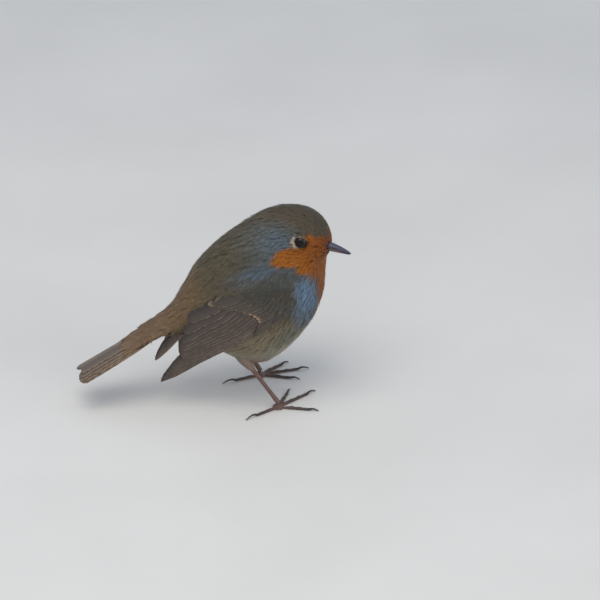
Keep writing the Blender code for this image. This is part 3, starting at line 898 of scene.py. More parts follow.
# %% [markdown]
# ## The lie of the coat
# On the head the feathers lie away from the root of the bill, and on the body they lie
# towards the tail, and underneath towards the vent. These directions pass into each other
# over the neck and along the flanks. Around the eye they part to both sides.
# %% Flow
TO_TAIL = np.array((-0.80, 0.0, -0.60))
VENT = np.array((-56.0, 0.0, 31.0))
DOWN_SHANK = np.array((-0.45, 0.0, -0.9))


def flow(places, normals):
    """The directions in which feathers lie on the skin."""
    from_bill = unit(places - BILL_ROOT)
    share = ramp(np.linalg.norm(places - BILL_ROOT, axis=-1), 13.0, 32.0)[..., None]
    under = ramp(-normals[..., 2], 0.0, 0.6) * ramp(-places[..., 0], -4.0, 12.0)
    to_tail = TO_TAIL + (unit(VENT - places) - TO_TAIL) * under[..., None]
    lie = from_bill * (1 - share) + to_tail * share
    low = (1 - ramp(nearest(places, HEELS), 4.0, 9.0))[..., None]
    lie = lie * (1 - low) + DOWN_SHANK * low
    for eye in EYES:
        away = places - eye
        far = np.linalg.norm(away, axis=-1, keepdims=True)
        lie = lie + away / far * 1.3 * (1 - ramp(far, 2.8, 6.5))
    lie = lie - normals * np.sum(lie * normals, axis=-1, keepdims=True)
    return unit(lie)


def on_skin(points):
    """The nearest places on the skin, and its normals there."""
    places, normals = np.empty_like(points), np.empty_like(points)
    for i, point in enumerate(points.tolist()):
        found, _, face, _ = skin_tree.find_nearest(point)
        places[i] = found
        normals[i] = skin_normals[flesh_faces[face, 0]]
    return places, normals


def size_at(places):
    """0 at the bill, 1 on the body."""
    small = ramp(np.linalg.norm(places - BILL_ROOT, axis=-1), -4.0, 34.0)
    small = np.minimum(small, 0.10 + 0.075 * np.maximum(nearest(places, EYES) - 2.8, 0))
    return np.minimum(small, 0.22 + 0.045 * nearest(places, HEELS))


on_back, upwards = np.array((-10.0, 0.0, 70.0)), np.array((0.0, 0.0, 1.0))
print("feathers on the back lie along", flow(on_back, upwards).round(2))

# %% [markdown]
# Roots are scattered over the skin, close together on the face and wider on the body, and
# those that would stay hidden under a folded wing are left out.
# %% Roots
SPACING = 1.08  # between feathers of full size, in millimetres
CELL = 1.6  # the size of the boxes that are searched for neighbours
STEPS = [(x, y, z) for x in (-1, 0, 1) for y in (-1, 0, 1) for z in (-1, 0, 1)]


def under_wing(place):
    """Whether the wing hides a root, and also the places that its feather reaches."""
    outwards = Vector((0, math.copysign(1.0, place[1]), 0))
    low = 4.5 if place[0] > -12 else 8.0  # the lower and rear rims are seen from below
    for back, up in ((0, 0), (-4.5, 0), (low, 0), (0, -low), (0, 3.8)):
        x, z = wing_xz(back, up, (place[0], place[2]))
        if wing_tree.ray_cast(Vector((x, place[1], z)), outwards, 12.0)[0] is None:
            return False
    return True


def scattered(rng, tries):
    """Roots on the skin, no closer together than the feathers' size there asks."""
    a, b, c = (skin[flesh_faces[:, k]] for k in range(3))
    area = np.linalg.norm(np.cross(b - a, c - a), axis=1)
    weight = area * (1 / (0.32 + 0.68 * size_at(skin[flesh_faces].mean(axis=1)))) ** 2
    face = rng.choice(len(area), tries, p=weight / weight.sum())
    s, t = rng.random((2, tries, 1))
    flip = s + t > 1
    s, t = np.where(flip, 1 - s, s), np.where(flip, 1 - t, t)
    places = a[face] + s * (b - a)[face] + t * (c - a)[face]
    spacing = SPACING * (0.42 + 0.58 * size_at(places))
    spacing *= 0.8 + 0.2 * ramp(nearest(places, HEELS), 11.0, 16.0)
    kept, cells = [], {}
    for i, (p, gap) in enumerate(zip(places.tolist(), spacing.tolist())):
        key = tuple(int(v // CELL) for v in p)
        near = (q for x, y, z in STEPS for q in cells.get((key[0] + x, key[1] + y, key[2] + z), ()))
        if all(math.dist(p, q) >= gap for q in near):
            cells.setdefault(key, []).append(p)
            kept.append(i)
    return places[kept]


rng = np.random.default_rng(7)
roots, root_normals = on_skin(scattered(rng, tries=90000))
# no roots on the lids, the bill or the root of the tail, nor under the wings
clear = (nearest(roots, EYES) > 3.15) & (roots[:, 0] > -52)
clear &= np.linalg.norm(roots - BILL_ROOT, axis=1) > 2.0
clear &= ~np.array([under_wing(p) for p in roots])
roots, root_normals = roots[clear], root_normals[clear]
print("roots:", len(roots))

# %% [markdown]
# The spine of a feather starts just under the skin and walks along the flow, and it rises
# towards the coat's surface as it goes. Large feathers grow on the body, small ones at the
# bill, the eyes and the heels.
# %% Spines that follow the skin
def spines(roots, normals, length, rise, rng, wander=7.0):
    """Each spine walks over the skin with the flow, and rises to the coat's surface."""
    angle = np.radians(rng.normal(0, wander, len(roots)))[:, None]
    place, normal = roots.copy(), normals.copy()
    rows, lifts = [place - normal * 0.2], [normal]
    for before, now in zip(ROWS[:-1], ROWS[1:]):
        way = flow(place, normal)
        way = way * np.cos(angle) + np.cross(normal, way) * np.sin(angle)
        place, normal = on_skin(place + way * (length * (now - before))[:, None])
        height = coat_depth(place) * rise * (1 - (1 - now) ** 2) + 0.05
        height *= 1 - 0.26 * ramp(place[:, 2], 85.0, 90.5)  # sleek on the crown
        rows.append(place + normal * height[:, None])
        lifts.append(normal)
    return np.stack(rows, axis=1), np.stack(lifts, axis=1)


big = size_at(roots)
lengths = (1.4 + 6.6 * big) * rng.uniform(0.9, 1.1, len(roots))
halves = (0.55 + 1.65 * big) * rng.uniform(0.9, 1.1, len(roots))
rise = rng.normal(0.93, 0.06, len(roots))
spine, lift = spines(roots, root_normals, lengths, rise, rng)
print("spines:", spine.shape)

# %% [markdown]
# The coat is split into regions, each with a right and a left half.
# %% Pieces of the coat
head_part = np.linalg.norm(roots - head_place(4, 0, 80), axis=1) < 17
front = (roots[:, 0] > 8) & ~head_part
thigh_part = nearest(roots, HEELS) < 9
back = (roots[:, 2] > 62 + 0.55 * (roots[:, 0] + 4)) & ~head_part & ~front & ~thigh_part
rest = ~(head_part | front | thigh_part | back)
PIECES = (("head", head_part, "plumage_face"), ("breast", front, "plumage_face"),
          ("back", back, "plumage_back"), ("flank", rest, "plumage_back"),
          ("thigh", thigh_part, "plumage_thigh"))
for i, (part, chosen, slot_name) in enumerate(PIECES):
    for j, (side_name, side) in enumerate(SIDES):
        here = chosen & ((roots[:, 1] > 0) == (side > 0))
        piece = feathers(f"coat_{part}_{side_name}", spine[here], lift[here], halves[here],
                         coat_material, 20 + 2 * i + j)
        joins_bird(piece, slot_name)
        print(piece.name, int(here.sum()), "feathers,", len(piece.data.polygons), "faces")

# %% [markdown]
# Flight feathers are stiff vanes on a shaft, with a narrow leading web and a wide trailing
# web. The vane is a closed thin sheet that arches a little across, with a raised shaft and a
# few splits along its edges where the barbs have parted. It is laid on whatever surface it
# belongs to, so the same maker serves wings and tail.
# %% Shape of a vane
COLUMNS = np.array((-1, -0.8, -0.5, -0.22, -0.05, 0, 0.05, 0.22, 0.5, 0.8, 1.0))


def through(points, t):
    """A smooth curve through three places in a plane."""
    points = np.asarray(points, dtype=float)
    return np.stack([np.polyval(np.polyfit((0, 0.5, 1), points[:, k], 2), t) for k in (0, 1)], -1)


def vane(lay, points, minus, plus, deep, rng, rows, round_from, under, pale=0.0, tip_power=2.0):
    """One vane. minus and plus are the widths of its webs; under is how far each edge sinks."""
    t = 1 - (1 - np.linspace(0, 1, rows)) ** 1.35
    t = np.linspace(0, 1, rows) * 0.5 + t * 0.5
    middle = through(points, t)
    ahead = np.gradient(middle, axis=0)
    ahead /= np.linalg.norm(ahead, axis=1, keepdims=True)
    aside = np.stack([ahead[:, 1], -ahead[:, 0]], axis=-1)
    end = np.clip((t - round_from) / (1 - round_from), 0, 1)
    profile = np.sqrt(np.clip(1 - end ** tip_power, 0.0004, 1)) * (0.45 + 0.55 * ramp(t, 0.0, 0.3))
    width = np.where(COLUMNS < 0, minus, plus)[None, :] * profile[:, None]
    for edge in (0, len(COLUMNS) - 1):
        for _ in range(rng.integers(1, 4)):
            at, size = rng.uniform(0.35, 0.95), rng.uniform(0.04, 0.16)
            split = np.exp(-((t - at) / 0.012) ** 2) * size
            width[:, edge] *= 1 - split
    place = middle[:, None] + aside[:, None] * (COLUMNS[None, :, None] * width[..., None])
    sink = np.where(COLUMNS < 0, under[0], under[1])[None, :] * np.abs(COLUMNS)[None, :] ** 1.5
    shaft = np.where(COLUMNS == 0, -0.07 * (1 - 0.6 * t[:, None]), 0.0)
    depth = deep + sink * np.minimum(width, 3) / 3 + shaft
    depth = depth + 0.03 * np.sin(t[:, None] * rng.uniform(9, 16) + COLUMNS[None, :] * 2)
    top = lay(place[..., 0], place[..., 1], depth)
    below = lay(place[..., 0], place[..., 1], depth + 0.10)
    below[:, [0, -1]] = top[:, [0, -1]]
    below[[0, -1]] = top[[0, -1]]
    along = np.repeat(t[:, None], len(COLUMNS), axis=1)
    across = np.repeat(COLUMNS[None, :], rows, axis=0)
    paleness = pale * ramp(along, 0.80, 0.99)
    return top, below, along, across, np.full_like(along, rng.normal(1.0, 0.045)), paleness


print("columns of a vane:", len(COLUMNS))

# %% [markdown]
# Top and underside of a vane are two sheets that are welded along their rim. The underside
# is much lighter: partly as the hidden side of a real flight feather is, and partly painted
# light that lifts undersides lying in shadow, such as the far wing's.
# %% Pieces made of vanes
PALE_UNDERSIDE_AND_PAINTED_LIGHT = 3.0


def vanes(name, made_vanes, surface):
    """Joins vanes into one piece."""
    parts, facts = [], []
    for top, below, along, across, tint, pale_at in made_vanes:
        quads = sheet_quads(*along.shape)
        # the underside's factor is partly its own paler tone and partly painted light against
        # shadow
        for sheet, faces, light in ((top, quads, 1.0), (below, quads[:, ::-1], PALE_UNDERSIDE_AND_PAINTED_LIGHT)):
            parts.append((sheet.reshape(-1, 3), faces))
            facts.append([v.ravel() for v in (along, across, tint * light, pale_at)])
    made = made_object(name, *joined(parts), surface)
    for key, values in zip(("along", "across", "tint", "pale"), zip(*facts)):
        store(made, key, np.concatenate(values))
    seam = bmesh.new()
    seam.from_mesh(made.data)
    bmesh.ops.remove_doubles(seam, verts=seam.verts, dist=0.004 * MM)
    bmesh.ops.recalc_face_normals(seam, faces=seam.faces)
    seam.to_mesh(made.data)
    seam.free()
    made.data.shade_smooth()
    return made


def flight_material(name, centre, edge, inner, pale_tone, count, edge_width=0.28):
    """Vane colours: a dusky centre, a paler leading edge and a darker hidden web."""
    made, tree, shader = material(name, 0.5, 0.35)
    across = attribute(tree, "across")
    at_edge = ranged(tree, across, 1 - edge_width * 1.6, 1.0)
    at_inner = ranged(tree, across, 0.05, -0.5)
    tone = mixed(tree, at_edge, paint(*centre), paint(*edge))
    tone = mixed(tree, at_inner, tone, paint(*inner))
    tone = mixed(tree, attribute(tree, "pale"), tone, paint(*pale_tone))
    shaft = maths(tree, "LESS_THAN", maths(tree, "ABSOLUTE", across), 0.045)
    tone = mixed(tree, maths(tree, "MULTIPLY", shaft, 0.55), tone, paint(46, 38, 34))
    feathered(tree, shader, tone, count, 0.35, 0.04)
    return made


flight = flight_material("flight feathers", (80, 70, 64), (106, 91, 77), (62, 54, 50),
                         (176, 140, 96), 90.0, 0.22)
tail_flight = flight_material("tail feathers", (108, 94, 82), (124, 106, 88), (94, 82, 72),
                              (150, 120, 90), 90.0, 0.4)
greater = flight_material("greater coverts", (75, 67, 60), (94, 85, 72), (62, 55, 50),
                          (196, 166, 132), 36.0)
print("vane materials:", [m.name for m in (flight, tail_flight, greater)])

# %% [markdown]
# ## Primaries, secondaries and tertials
# In the closed wing the three short tertials lie on top, then the six secondaries one under
# the other, and the primaries under all of them, with only their leading edges showing as a
# stack of fine lines and their tips running out past the rest.
# %% Flight feathers of the wing
SECONDARIES = (  # root, middle and tip in the wing's plane, and how deep
    ((18.0, 3.4), (39, 3.2), (58.0, 4.0), 1.12), ((18.6, 4.9), (39, 4.6), (58.2, 4.8), 1.04),
    ((19.2, 6.4), (39, 6.0), (57.9, 5.7), 0.96), ((19.8, 8.0), (39, 7.4), (57.2, 6.8), 0.88),
    ((20.5, 9.8), (39, 8.9), (56.4, 7.9), 0.80), ((21.5, 11.7), (39, 10.6), (55.4, 9.2), 0.72),
)
TERTIALS = (  # the same, with the half width before the depth
    ((22.5, 13.6), (39, 12.9), (53.6, 11.1), 2.1, 0.58),
    ((24.5, 15.8), (39, 15.6), (50.2, 14.3), 2.3, 0.47),
    ((27.0, 18.2), (37, 18.6), (45.2, 17.6), 2.4, 0.36),
)
PRIMARIES = (  # as the secondaries, from the outermost inwards
    ((6, 0.2), (38, -1.2), (68.8, -2.4), 1.80), ((6, 0.5), (38, -0.7), (71.2, -1.9), 1.72),
    ((6, 0.8), (38, -0.2), (72.7, -1.5), 1.64), ((7, 1.1), (38, 0.3), (71.2, -0.5), 1.56),
    ((7, 1.4), (38, 0.8), (69.0, 0.5), 1.48), ((8, 1.7), (38, 1.3), (66.9, 1.4), 1.40),
    ((8, 2.0), (38, 1.8), (64.8, 2.3), 1.32), ((9, 2.3), (38, 2.3), (62.6, 3.1), 1.24),
)
DRAWN_IN = ((10.0, 3.6), (5.5, 2.0), (0.0, 0.0))  # how much shorter and higher tips end
for side_name, side in SIDES:
    rng = np.random.default_rng(40 + side)
    lay = partial(on_wing, side=side)
    primaries = []
    for i, (root, mid, tip, deep) in enumerate(PRIMARIES):
        if side > 0:  # the left wing hangs a little, with its outer tips drawn in
            shorter, higher = DRAWN_IN[min(i, 2)]
            mid, tip = (mid[0], mid[1] + 3.2), (tip[0] - shorter, tip[1] + higher)
        primaries.append(vane(lay, (root, mid, tip), 3.2, 1.25, deep, rng, rows=36,
                              round_from=0.86, under=(0.15, 0.0), tip_power=1.6))
    piece = vanes(f"primaries_{side_name}", primaries, flight)
    joins_bird(piece, "flight_feathers", f"wing_{side_name}_primaries")
    folded = [vane(lay, points, 4.2, 1.5, deep, rng, 34, 0.86, (0.35, -0.04))
              for *points, deep in SECONDARIES]
    folded += [vane(lay, points, wide, wide, deep, rng, 30, 0.74, (0.25, 0.02))
               for *points, wide, deep in TERTIALS]
    piece = vanes(f"secondaries_{side_name}", folded, flight)
    joins_bird(piece, "flight_feathers", f"wing_{side_name}_secondaries")
print("flight feathers:", len(SECONDARIES) + len(TERTIALS) + len(PRIMARIES), "on each side")

# %% [markdown]
# ## Coverts
# The greater coverts are short vanes over the roots of the secondaries, and their ends make
# a slanting line across the wing; in a young robin the outer ones end in a buff spot. Small
# soft coverts cover everything in front of them and pass into the scapulars above, so these
# are made as body feathers that are laid on the wing's surface.
# %% Greater coverts, primary coverts and alula
GREATER = (  # root, tip, half width, depth, paleness of the tip
    ((8.0, 1.2), (20.6, 1.6), 1.5, 0.66, 0.2), ((8.0, 2.6), (19.2, 3.3), 1.6, 0.61, 0.4),
    ((8.4, 4.0), (18.9, 5.0), 1.7, 0.56, 0.7), ((8.8, 5.6), (19.4, 7.0), 1.8, 0.51, 0.7),
    ((9.4, 7.2), (20.4, 9.1), 1.9, 0.46, 0.5), ((10.2, 9.0), (22.2, 11.4), 2.0, 0.39, 0.2),
    ((11.4, 10.8), (24.4, 13.8), 2.1, 0.31, 0.0), ((13.0, 12.8), (27.4, 16.4), 2.2, 0.24, 0.0),
    ((15.0, 15.0), (30.8, 19.2), 2.3, 0.17, 0.05), ((18.0, 17.2), (33.2, 20.9), 2.1, 0.13, 0.3),
)
PRIMARY_COVERTS = (  # root, tip, half width, depth
    ((6, -0.9), (24.6, -1.5), 1.0, 1.00), ((5.5, -0.3), (23.8, -0.7), 1.0, 0.92),
    ((5.0, 0.3), (22.6, 0.1), 1.0, 0.84), ((4.6, 0.9), (21.4, 0.8), 1.0, 0.76),
)
ALULA = (((1.0, -0.6), (14.5, -1.7), 1.2, 0.62), ((0.8, 0.2), (11.5, -0.5), 1.1, 0.54),
         ((0.6, 1.0), (8.5, 0.6), 1.1, 0.46))


def straight(root, tip, bow=0.35):
    """Root, middle and tip, with the middle bowed a little downwards."""
    return root, ((root[0] + tip[0]) / 2, (root[1] + tip[1]) / 2 - bow), tip


for side_name, side in SIDES:
    rng = np.random.default_rng(60 + side)
    lay = partial(on_wing, side=side)
    made = [vane(lay, straight(root, tip), wide, wide * 0.8, deep + 0.12, rng, 20, 0.6,
                 (0.25, 0.02), pale_at) for root, tip, wide, deep, pale_at in GREATER]
    made += [vane(lay, straight(root, tip, 0.1), wide * 1.4, wide, deep, rng, 22, 0.8,
                  (0.15, 0.0)) for root, tip, wide, deep in PRIMARY_COVERTS + ALULA]
    piece = vanes(f"coverts_{side_name}", made, greater)
    joins_bird(piece, "flight_feathers", f"wing_{side_name}_coverts")
print("coverts:", len(GREATER), "greater,", len(PRIMARY_COVERTS), "primary")

# %% [markdown]
# ## The tail
# Twelve feathers, the middle pair on top and each next one under it, lie nearly closed. They
# are browner than the wings, with warm edges, and the middle ones are a little shorter,
# which gives the shallow notch.
# %% Tail feathers
TAIL_START = np.array((-57.3, 0.0, 31.9))
TAIL_SLOPE = math.radians(30.4)
TAIL_BACK = np.array((-math.cos(TAIL_SLOPE), 0.0, -math.sin(TAIL_SLOPE)))
TAIL_UP = np.array((-math.sin(TAIL_SLOPE), 0.0, math.cos(TAIL_SLOPE)))
LEFT = np.array((0.0, 1.0, 0.0))
TAIL_TIPS = (  # of one side from the middle outwards: length, how far out, half width
    (30.6, 1.9, 2.3), (32.0, 3.9, 2.4), (32.5, 5.5, 2.4), (32.4, 6.7, 2.3),
    (31.9, 7.5, 2.2), (30.8, 8.1, 1.9),
)


def in_tail(back, across, height):
    """A place told along the tail's own directions."""
    return (TAIL_START + TAIL_BACK * np.asarray(back)[..., None]
            + LEFT * np.asarray(across)[..., None] + TAIL_UP * np.asarray(height)[..., None])


def on_tail(back, across, deep):
    return in_tail(back, across, 1.0 - 0.9 * (across / 8.5) ** 2 - deep)


rng = np.random.default_rng(80)
tail = []
for i, (reach, aside, half) in reversed(list(enumerate(TAIL_TIPS))):
    for side in (1, -1):
        at = aside * side
        points = ((-7.0, at * 0.84), (reach * 0.45, at * 0.95), (reach, at))
        webs = (half * 1.15, half * 0.85) if side < 0 else (half * 0.85, half * 1.15)
        deep = 0.12 + 0.26 * i + (0.05 if side > 0 else 0.0)
        made = vane(on_tail, points, *webs, deep, rng, 34, 0.92, (0.05, 0.05), tip_power=2.6)
        if side > 0:
            made = (*made[:3], -made[3], *made[4:])
        tail.append(made)
piece = vanes("tail_feathers", tail, tail_flight)
joins_bird(piece, "flight_feathers", "tail_middle", "tail_left", "tail_right")
print("tail feathers:", len(tail))

# %% [markdown]
# ## Small coverts on the wing
# From the bend of the wing back to the greater coverts lie rows of small round feathers,
# smallest at the leading edge. They are made as body feathers are, but their spines are
# drawn in the wing's plane.
# %% Lesser and median coverts
LAST_ROW_UP = (0.8, 3.0, 7.0, 12.0, 17.0, 20.5)  # where the rows end, from the lower edge up
LAST_ROW_BACK = (9.0, 12.0, 13.5, 16.5, 21.5, 27.0)


def lattice(rng, backs, ups, shift, jitter):
    """Roots in staggered rows over the wing's plane, each one moved a little."""
    rows = [(back, up) for i, back in enumerate(backs) for up in ups + shift * (i % 2)]
    return (np.array(rows) + rng.normal(0, jitter, (len(rows), 2))).T


def wing_spines(back, up, length, angle, side, sink, lift_end, surface=wing_field):
    """Spines on the wing's surface, sinking at the root under the row in front."""
    b = back[:, None] + ROWS[None] * (length * np.cos(angle))[:, None]
    u = up[:, None] + ROWS[None] * (length * np.sin(angle))[:, None]
    deep = sink * (1 - ROWS[None]) ** 1.5 - lift_end[:, None] * ROWS[None]
    step = 0.6
    here, ahead = (on_wing(b + move, u, deep, side, surface) for move in (0, step))
    above = on_wing(b, u + step, deep, side, surface)
    up_way = unit(np.cross(ahead - here, above - here)) * -side
    flip = np.sign(np.sum(up_way * (LEFT * side), axis=-1, keepdims=True))
    return here, up_way * flip


for side_name, side in SIDES:
    rng = np.random.default_rng(90 + side)
    back_at, up_at = lattice(rng, np.arange(-5.0, 24.0, 1.35), np.arange(-3.4, 24.5, 1.5), 0.75,
                             0.18)
    near_edge = ramp(back_at + 0.15 * np.abs(up_at - 6), -4.0, 9.0)
    length = (3.2 + 3.2 * near_edge) * rng.uniform(0.92, 1.08, len(back_at))
    tip = back_at + length
    kept = (sampled(wing_mask, back_at, up_at) > 0.42) & (sampled(wing_mask, tip, up_at) > 0.6)
    kept &= tip < np.interp(up_at, LAST_ROW_UP, LAST_ROW_BACK) + rng.normal(0, 0.25, len(tip))
    back_at, up_at, length, near_edge = (v[kept] for v in (back_at, up_at, length, near_edge))
    angle = np.radians(rng.normal(2, 4, len(back_at)) + 1.1 * (up_at - 8))
    spine_at, lift_at = wing_spines(back_at, up_at, length, angle, side, 0.75,
                                    rng.uniform(-0.05, 0.10, len(up_at)))
    half = (1.15 + 0.85 * near_edge) * rng.uniform(0.92, 1.08, len(up_at))
    piece = feathers(f"small_coverts_{side_name}", spine_at, lift_at, half, wing_coat, 92 + side)
    joins_bird(piece, "plumage_back")
    print(piece.name, len(back_at), "feathers")

# %% [markdown]
# ## Scapulars and the feathers over the bend of the wing
# The wing's upper edge is tucked under the long loose scapulars of the shoulder, and its bend
# under the feathers of the breast side. Both pass from the body's surface onto the wing's, so
# their spines are drawn on one smooth surface over the two.
# %% Scapulars
for side_name, side in SIDES:
    rng = np.random.default_rng(100 + side)
    back_at, up_at = lattice(rng, np.arange(-13.0, 42.0, 1.15), np.arange(-3.0, 33.0, 1.25), 0.6,
                             0.2)
    share = sampled(rim_share, back_at, up_at)
    out = sampled(side_field, back_at, up_at)
    above = ramp(up_at, 8.0, 14.0)
    kept = (share > 0.02) & (share < 0.50 + 0.24 * above * ramp(back_at, 36, 24))
    kept &= out > 14.5
    kept &= (up_at > 9.0) | (back_at < 1.5)
    kept &= sampled(on_body.astype(float), back_at, up_at) > 0.9
    back_at, up_at, above = (v[kept] for v in (back_at, up_at, above))
    length = (5.0 + 2.8 * above) * rng.uniform(0.9, 1.1, len(back_at))
    angle = rng.normal(0, 5, len(back_at)) - 22 * (1 - ramp(back_at, -8, 8)) - 6 * above
    spine_at, lift_at = wing_spines(back_at, up_at, length, np.radians(angle), side, 1.3,
                                    rng.uniform(0.0, 0.22, len(up_at)), side_field)
    half = (1.5 + 0.5 * above) * rng.uniform(0.9, 1.1, len(up_at))
    piece = feathers(f"scapulars_{side_name}", spine_at, lift_at, half, coat_material, 104 + side)
    joins_bird(piece, "plumage_back")
    print(piece.name, len(back_at), "feathers")

# %% [markdown]
# ## Coverts of the tail
# Long soft feathers close the body over the root of the tail, above in warm brown and below
# in pale buff, and taper its end to the width of the tail. Half of them are spread evenly
# over its width and half all round it, so that its narrow sides are covered too.
# %% Tail coverts
rng = np.random.default_rng(95)
count = 300
over_width = np.arccos(rng.uniform(-1, 1, count)) * rng.choice((-1, 1), count)
all_round = rng.uniform(-math.pi, math.pi, count)
turn = np.where(np.arange(count) % 2, over_width, all_round)[:, None]
start = rng.uniform(-16.0, -1.5, count)
length = rng.uniform(8.5, 12.5, count)
back_at = start[:, None] + length[:, None] * ROWS[None]
ahead_of = np.clip(-back_at, 0, 20)
half_wide = np.interp(back_at, (-16, -11, -6, 0, 8), (9.6, 8.5, 8.2, 8.0, 7.4))
half_high = np.where(turn > 0, 1.08 + 0.12 * ahead_of, 0.85 + 0.27 * ahead_of)
sunk = 0.72 + 0.28 * (1 - (1 - ROWS[None]) ** 2)
across = np.cos(turn) * half_wide * sunk
height = np.sin(turn) * half_high * sunk - 0.25 * (across / 8.5) ** 2
lift_at = (TAIL_UP * (np.sin(turn) / half_high)[..., None]
           + LEFT * (np.cos(turn) / half_wide)[..., None])
half = rng.uniform(1.7, 2.3, count) * (1 - 0.4 * ramp(np.abs(np.cos(turn[:, 0])), 0.7, 0.97))
piece = feathers("tail_coverts", in_tail(back_at, across, height), unit(lift_at), half,
                 coat_material, 96, reach=0.8)
joins_bird(piece, "plumage_back")
print("tail coverts:", count)

# %% [markdown]
# ## The eyes
# The eye is a glossy near-black ball, of which only an oval shows between the lids. The lids
# are folds of bare skin that lie on the ball and pass under the face feathers, and a ring of
# tiny pale feathers stands around them, clearest behind and above the eye.
# %% The eye's own directions
EYE_OUT = unit(np.array((0.16, 1.0, 0.10)))
EYE_RADIUS = 3.0
OPEN_LONG, OPEN_HIGH = 2.62, 1.88  # half the length and height of the open eye
LID_LIMIT = math.radians(100)  # lids and tiny feathers end here, behind the ball


def eye_frame(side):
    """The eye's outward, forward and upward directions in the bird's places."""
    out = EYE_OUT * np.array((1, side, 1))
    forward = unit(np.array((1.0, 0, -0.16)) - out * (out[0] - 0.16 * out[2]))
    upward = np.cross(forward, out) * -side
    return [turn_z(v, HEAD_TURN) for v in (out, forward, upward)]


def polar(centre, axes, angle, around, radius):
    """Places around the eye, by their angle from its axis and their way around it."""
    out, forward, upward = axes
    return (centre + out * (np.cos(angle) * radius)[..., None]
            + forward * (np.sin(angle) * np.cos(around) * radius)[..., None]
            + upward * (np.sin(angle) * np.sin(around) * radius)[..., None])


def opening(around):
    """The angle from the eye's axis at which the lids' edges lie."""
    long, high = np.cos(around) * OPEN_LONG, np.sin(around) * OPEN_HIGH
    pointed = 1 + 0.06 * np.cos(around) ** 8
    return np.arcsin(np.clip(np.hypot(long, high) * pointed / EYE_RADIUS, 0, 1))


def ring_faces(rows, columns):
    grid = np.arange(rows * columns).reshape(rows, columns)
    nxt = np.roll(grid, -1, axis=1)
    return np.stack([grid[:-1], nxt[:-1], nxt[1:], grid[1:]], -1).reshape(-1, 4)


print("lids open by", np.degrees(2 * opening(np.array((0, math.pi / 2)))).round(), "degrees")

# %% [markdown]
# The iris is dark brown around a black pupil, beneath a clear wet coat. The lids are bare
# and dusky at their rim, and further out they take the plumage's colour.
# %% Materials of the eye
eye_material, tree, shader = material("eye", 0.25, 0.0)
for name, value in (("Coat Weight", 1.0), ("Coat Roughness", 0.02), ("Coat IOR", 1.36)):
    shader.inputs[name].default_value = value
iris = node(tree, "ValToRGB", fac=attribute(tree, "along"))
for stop, place, tone in zip(iris.color_ramp.elements, (0.47, 0.53), ((6, 5, 5), (34, 21, 14))):
    stop.position, stop.color = place, paint(*tone)
tree.links.new(iris.outputs["Color"], shader.inputs["Base Color"])

lid_material, tree, shader = material("lids", 0.55, 0.3)
bare, wrinkles = speckled(tree, 2600.0, 3.0, (34, 28, 26), (62, 52, 46))
plumage = scaled(tree, marked(tree, node(tree, "TexCoord").outputs["Object"]), 0.8)
outer = maths(tree, "GREATER_THAN", attribute(tree, "along"), 0.25)
tree.links.new(mixed(tree, outer, bare, plumage), shader.inputs["Base Color"])
raised(tree, shader, wrinkles, 0.4, 0.05)
print("materials:", [m.name for m in (eye_material, lid_material)])

# %% [markdown]
# The cornea bulges a little in front of the ball, and the lids are rows around the opening.
# %% Eyeballs and lids
LID_ROWS = (  # degrees from the opening's edge, distance from the eye's centre, share outwards
    (0.0, 3.02, 0.0), (2.0, 3.13, 0.05), (5.0, 3.24, 0.1), (9.0, 3.27, 0.2), (14.0, 3.25, 0.4),
    (22.0, 3.33, 0.6), (32.0, 3.50, 0.8), (44.0, 3.72, 0.9), (56.0, 3.6, 1.0),
)
LID_ANGLES, LID_RADII, LID_SHARES = np.array(LID_ROWS).T
AROUND = np.linspace(0, 2 * math.pi, 72, endpoint=False)
for (side_name, side), centre in zip(SIDES, EYES):
    axes = eye_frame(side)
    angle, around = np.meshgrid(np.linspace(0.001, math.pi, 40), AROUND, indexing="ij")
    cornea = 0.10 * np.clip(1 - (angle / 0.95) ** 2, 0, 1)
    places = polar(centre, axes, angle, around, EYE_RADIUS + cornea).reshape(-1, 3)
    ball = made_object(f"eyeball_{side_name}", places, ring_faces(40, 72), eye_material)
    store(ball, "along", angle)
    joins_bird(ball, "eye", f"eye_{side_name}")
    angle = np.minimum(opening(AROUND) + np.radians(LID_ANGLES)[:, None], LID_LIMIT)
    radius = np.repeat(LID_RADII[:, None], 72, axis=1)
    radius[1:4] += 0.05 * np.abs(np.sin(AROUND * 9))[None] * np.array((0.4, 1, 0.5))[:, None]
    places = polar(centre, axes, angle, np.broadcast_to(AROUND, angle.shape), radius)
    piece = made_object(f"lids_{side_name}", places.reshape(-1, 3), ring_faces(len(LID_ROWS), 72),
                        lid_material)
    store(piece, "along", np.repeat(LID_SHARES, 72))
    joins_bird(piece, "plumage_face")
print("eyes and lids made")

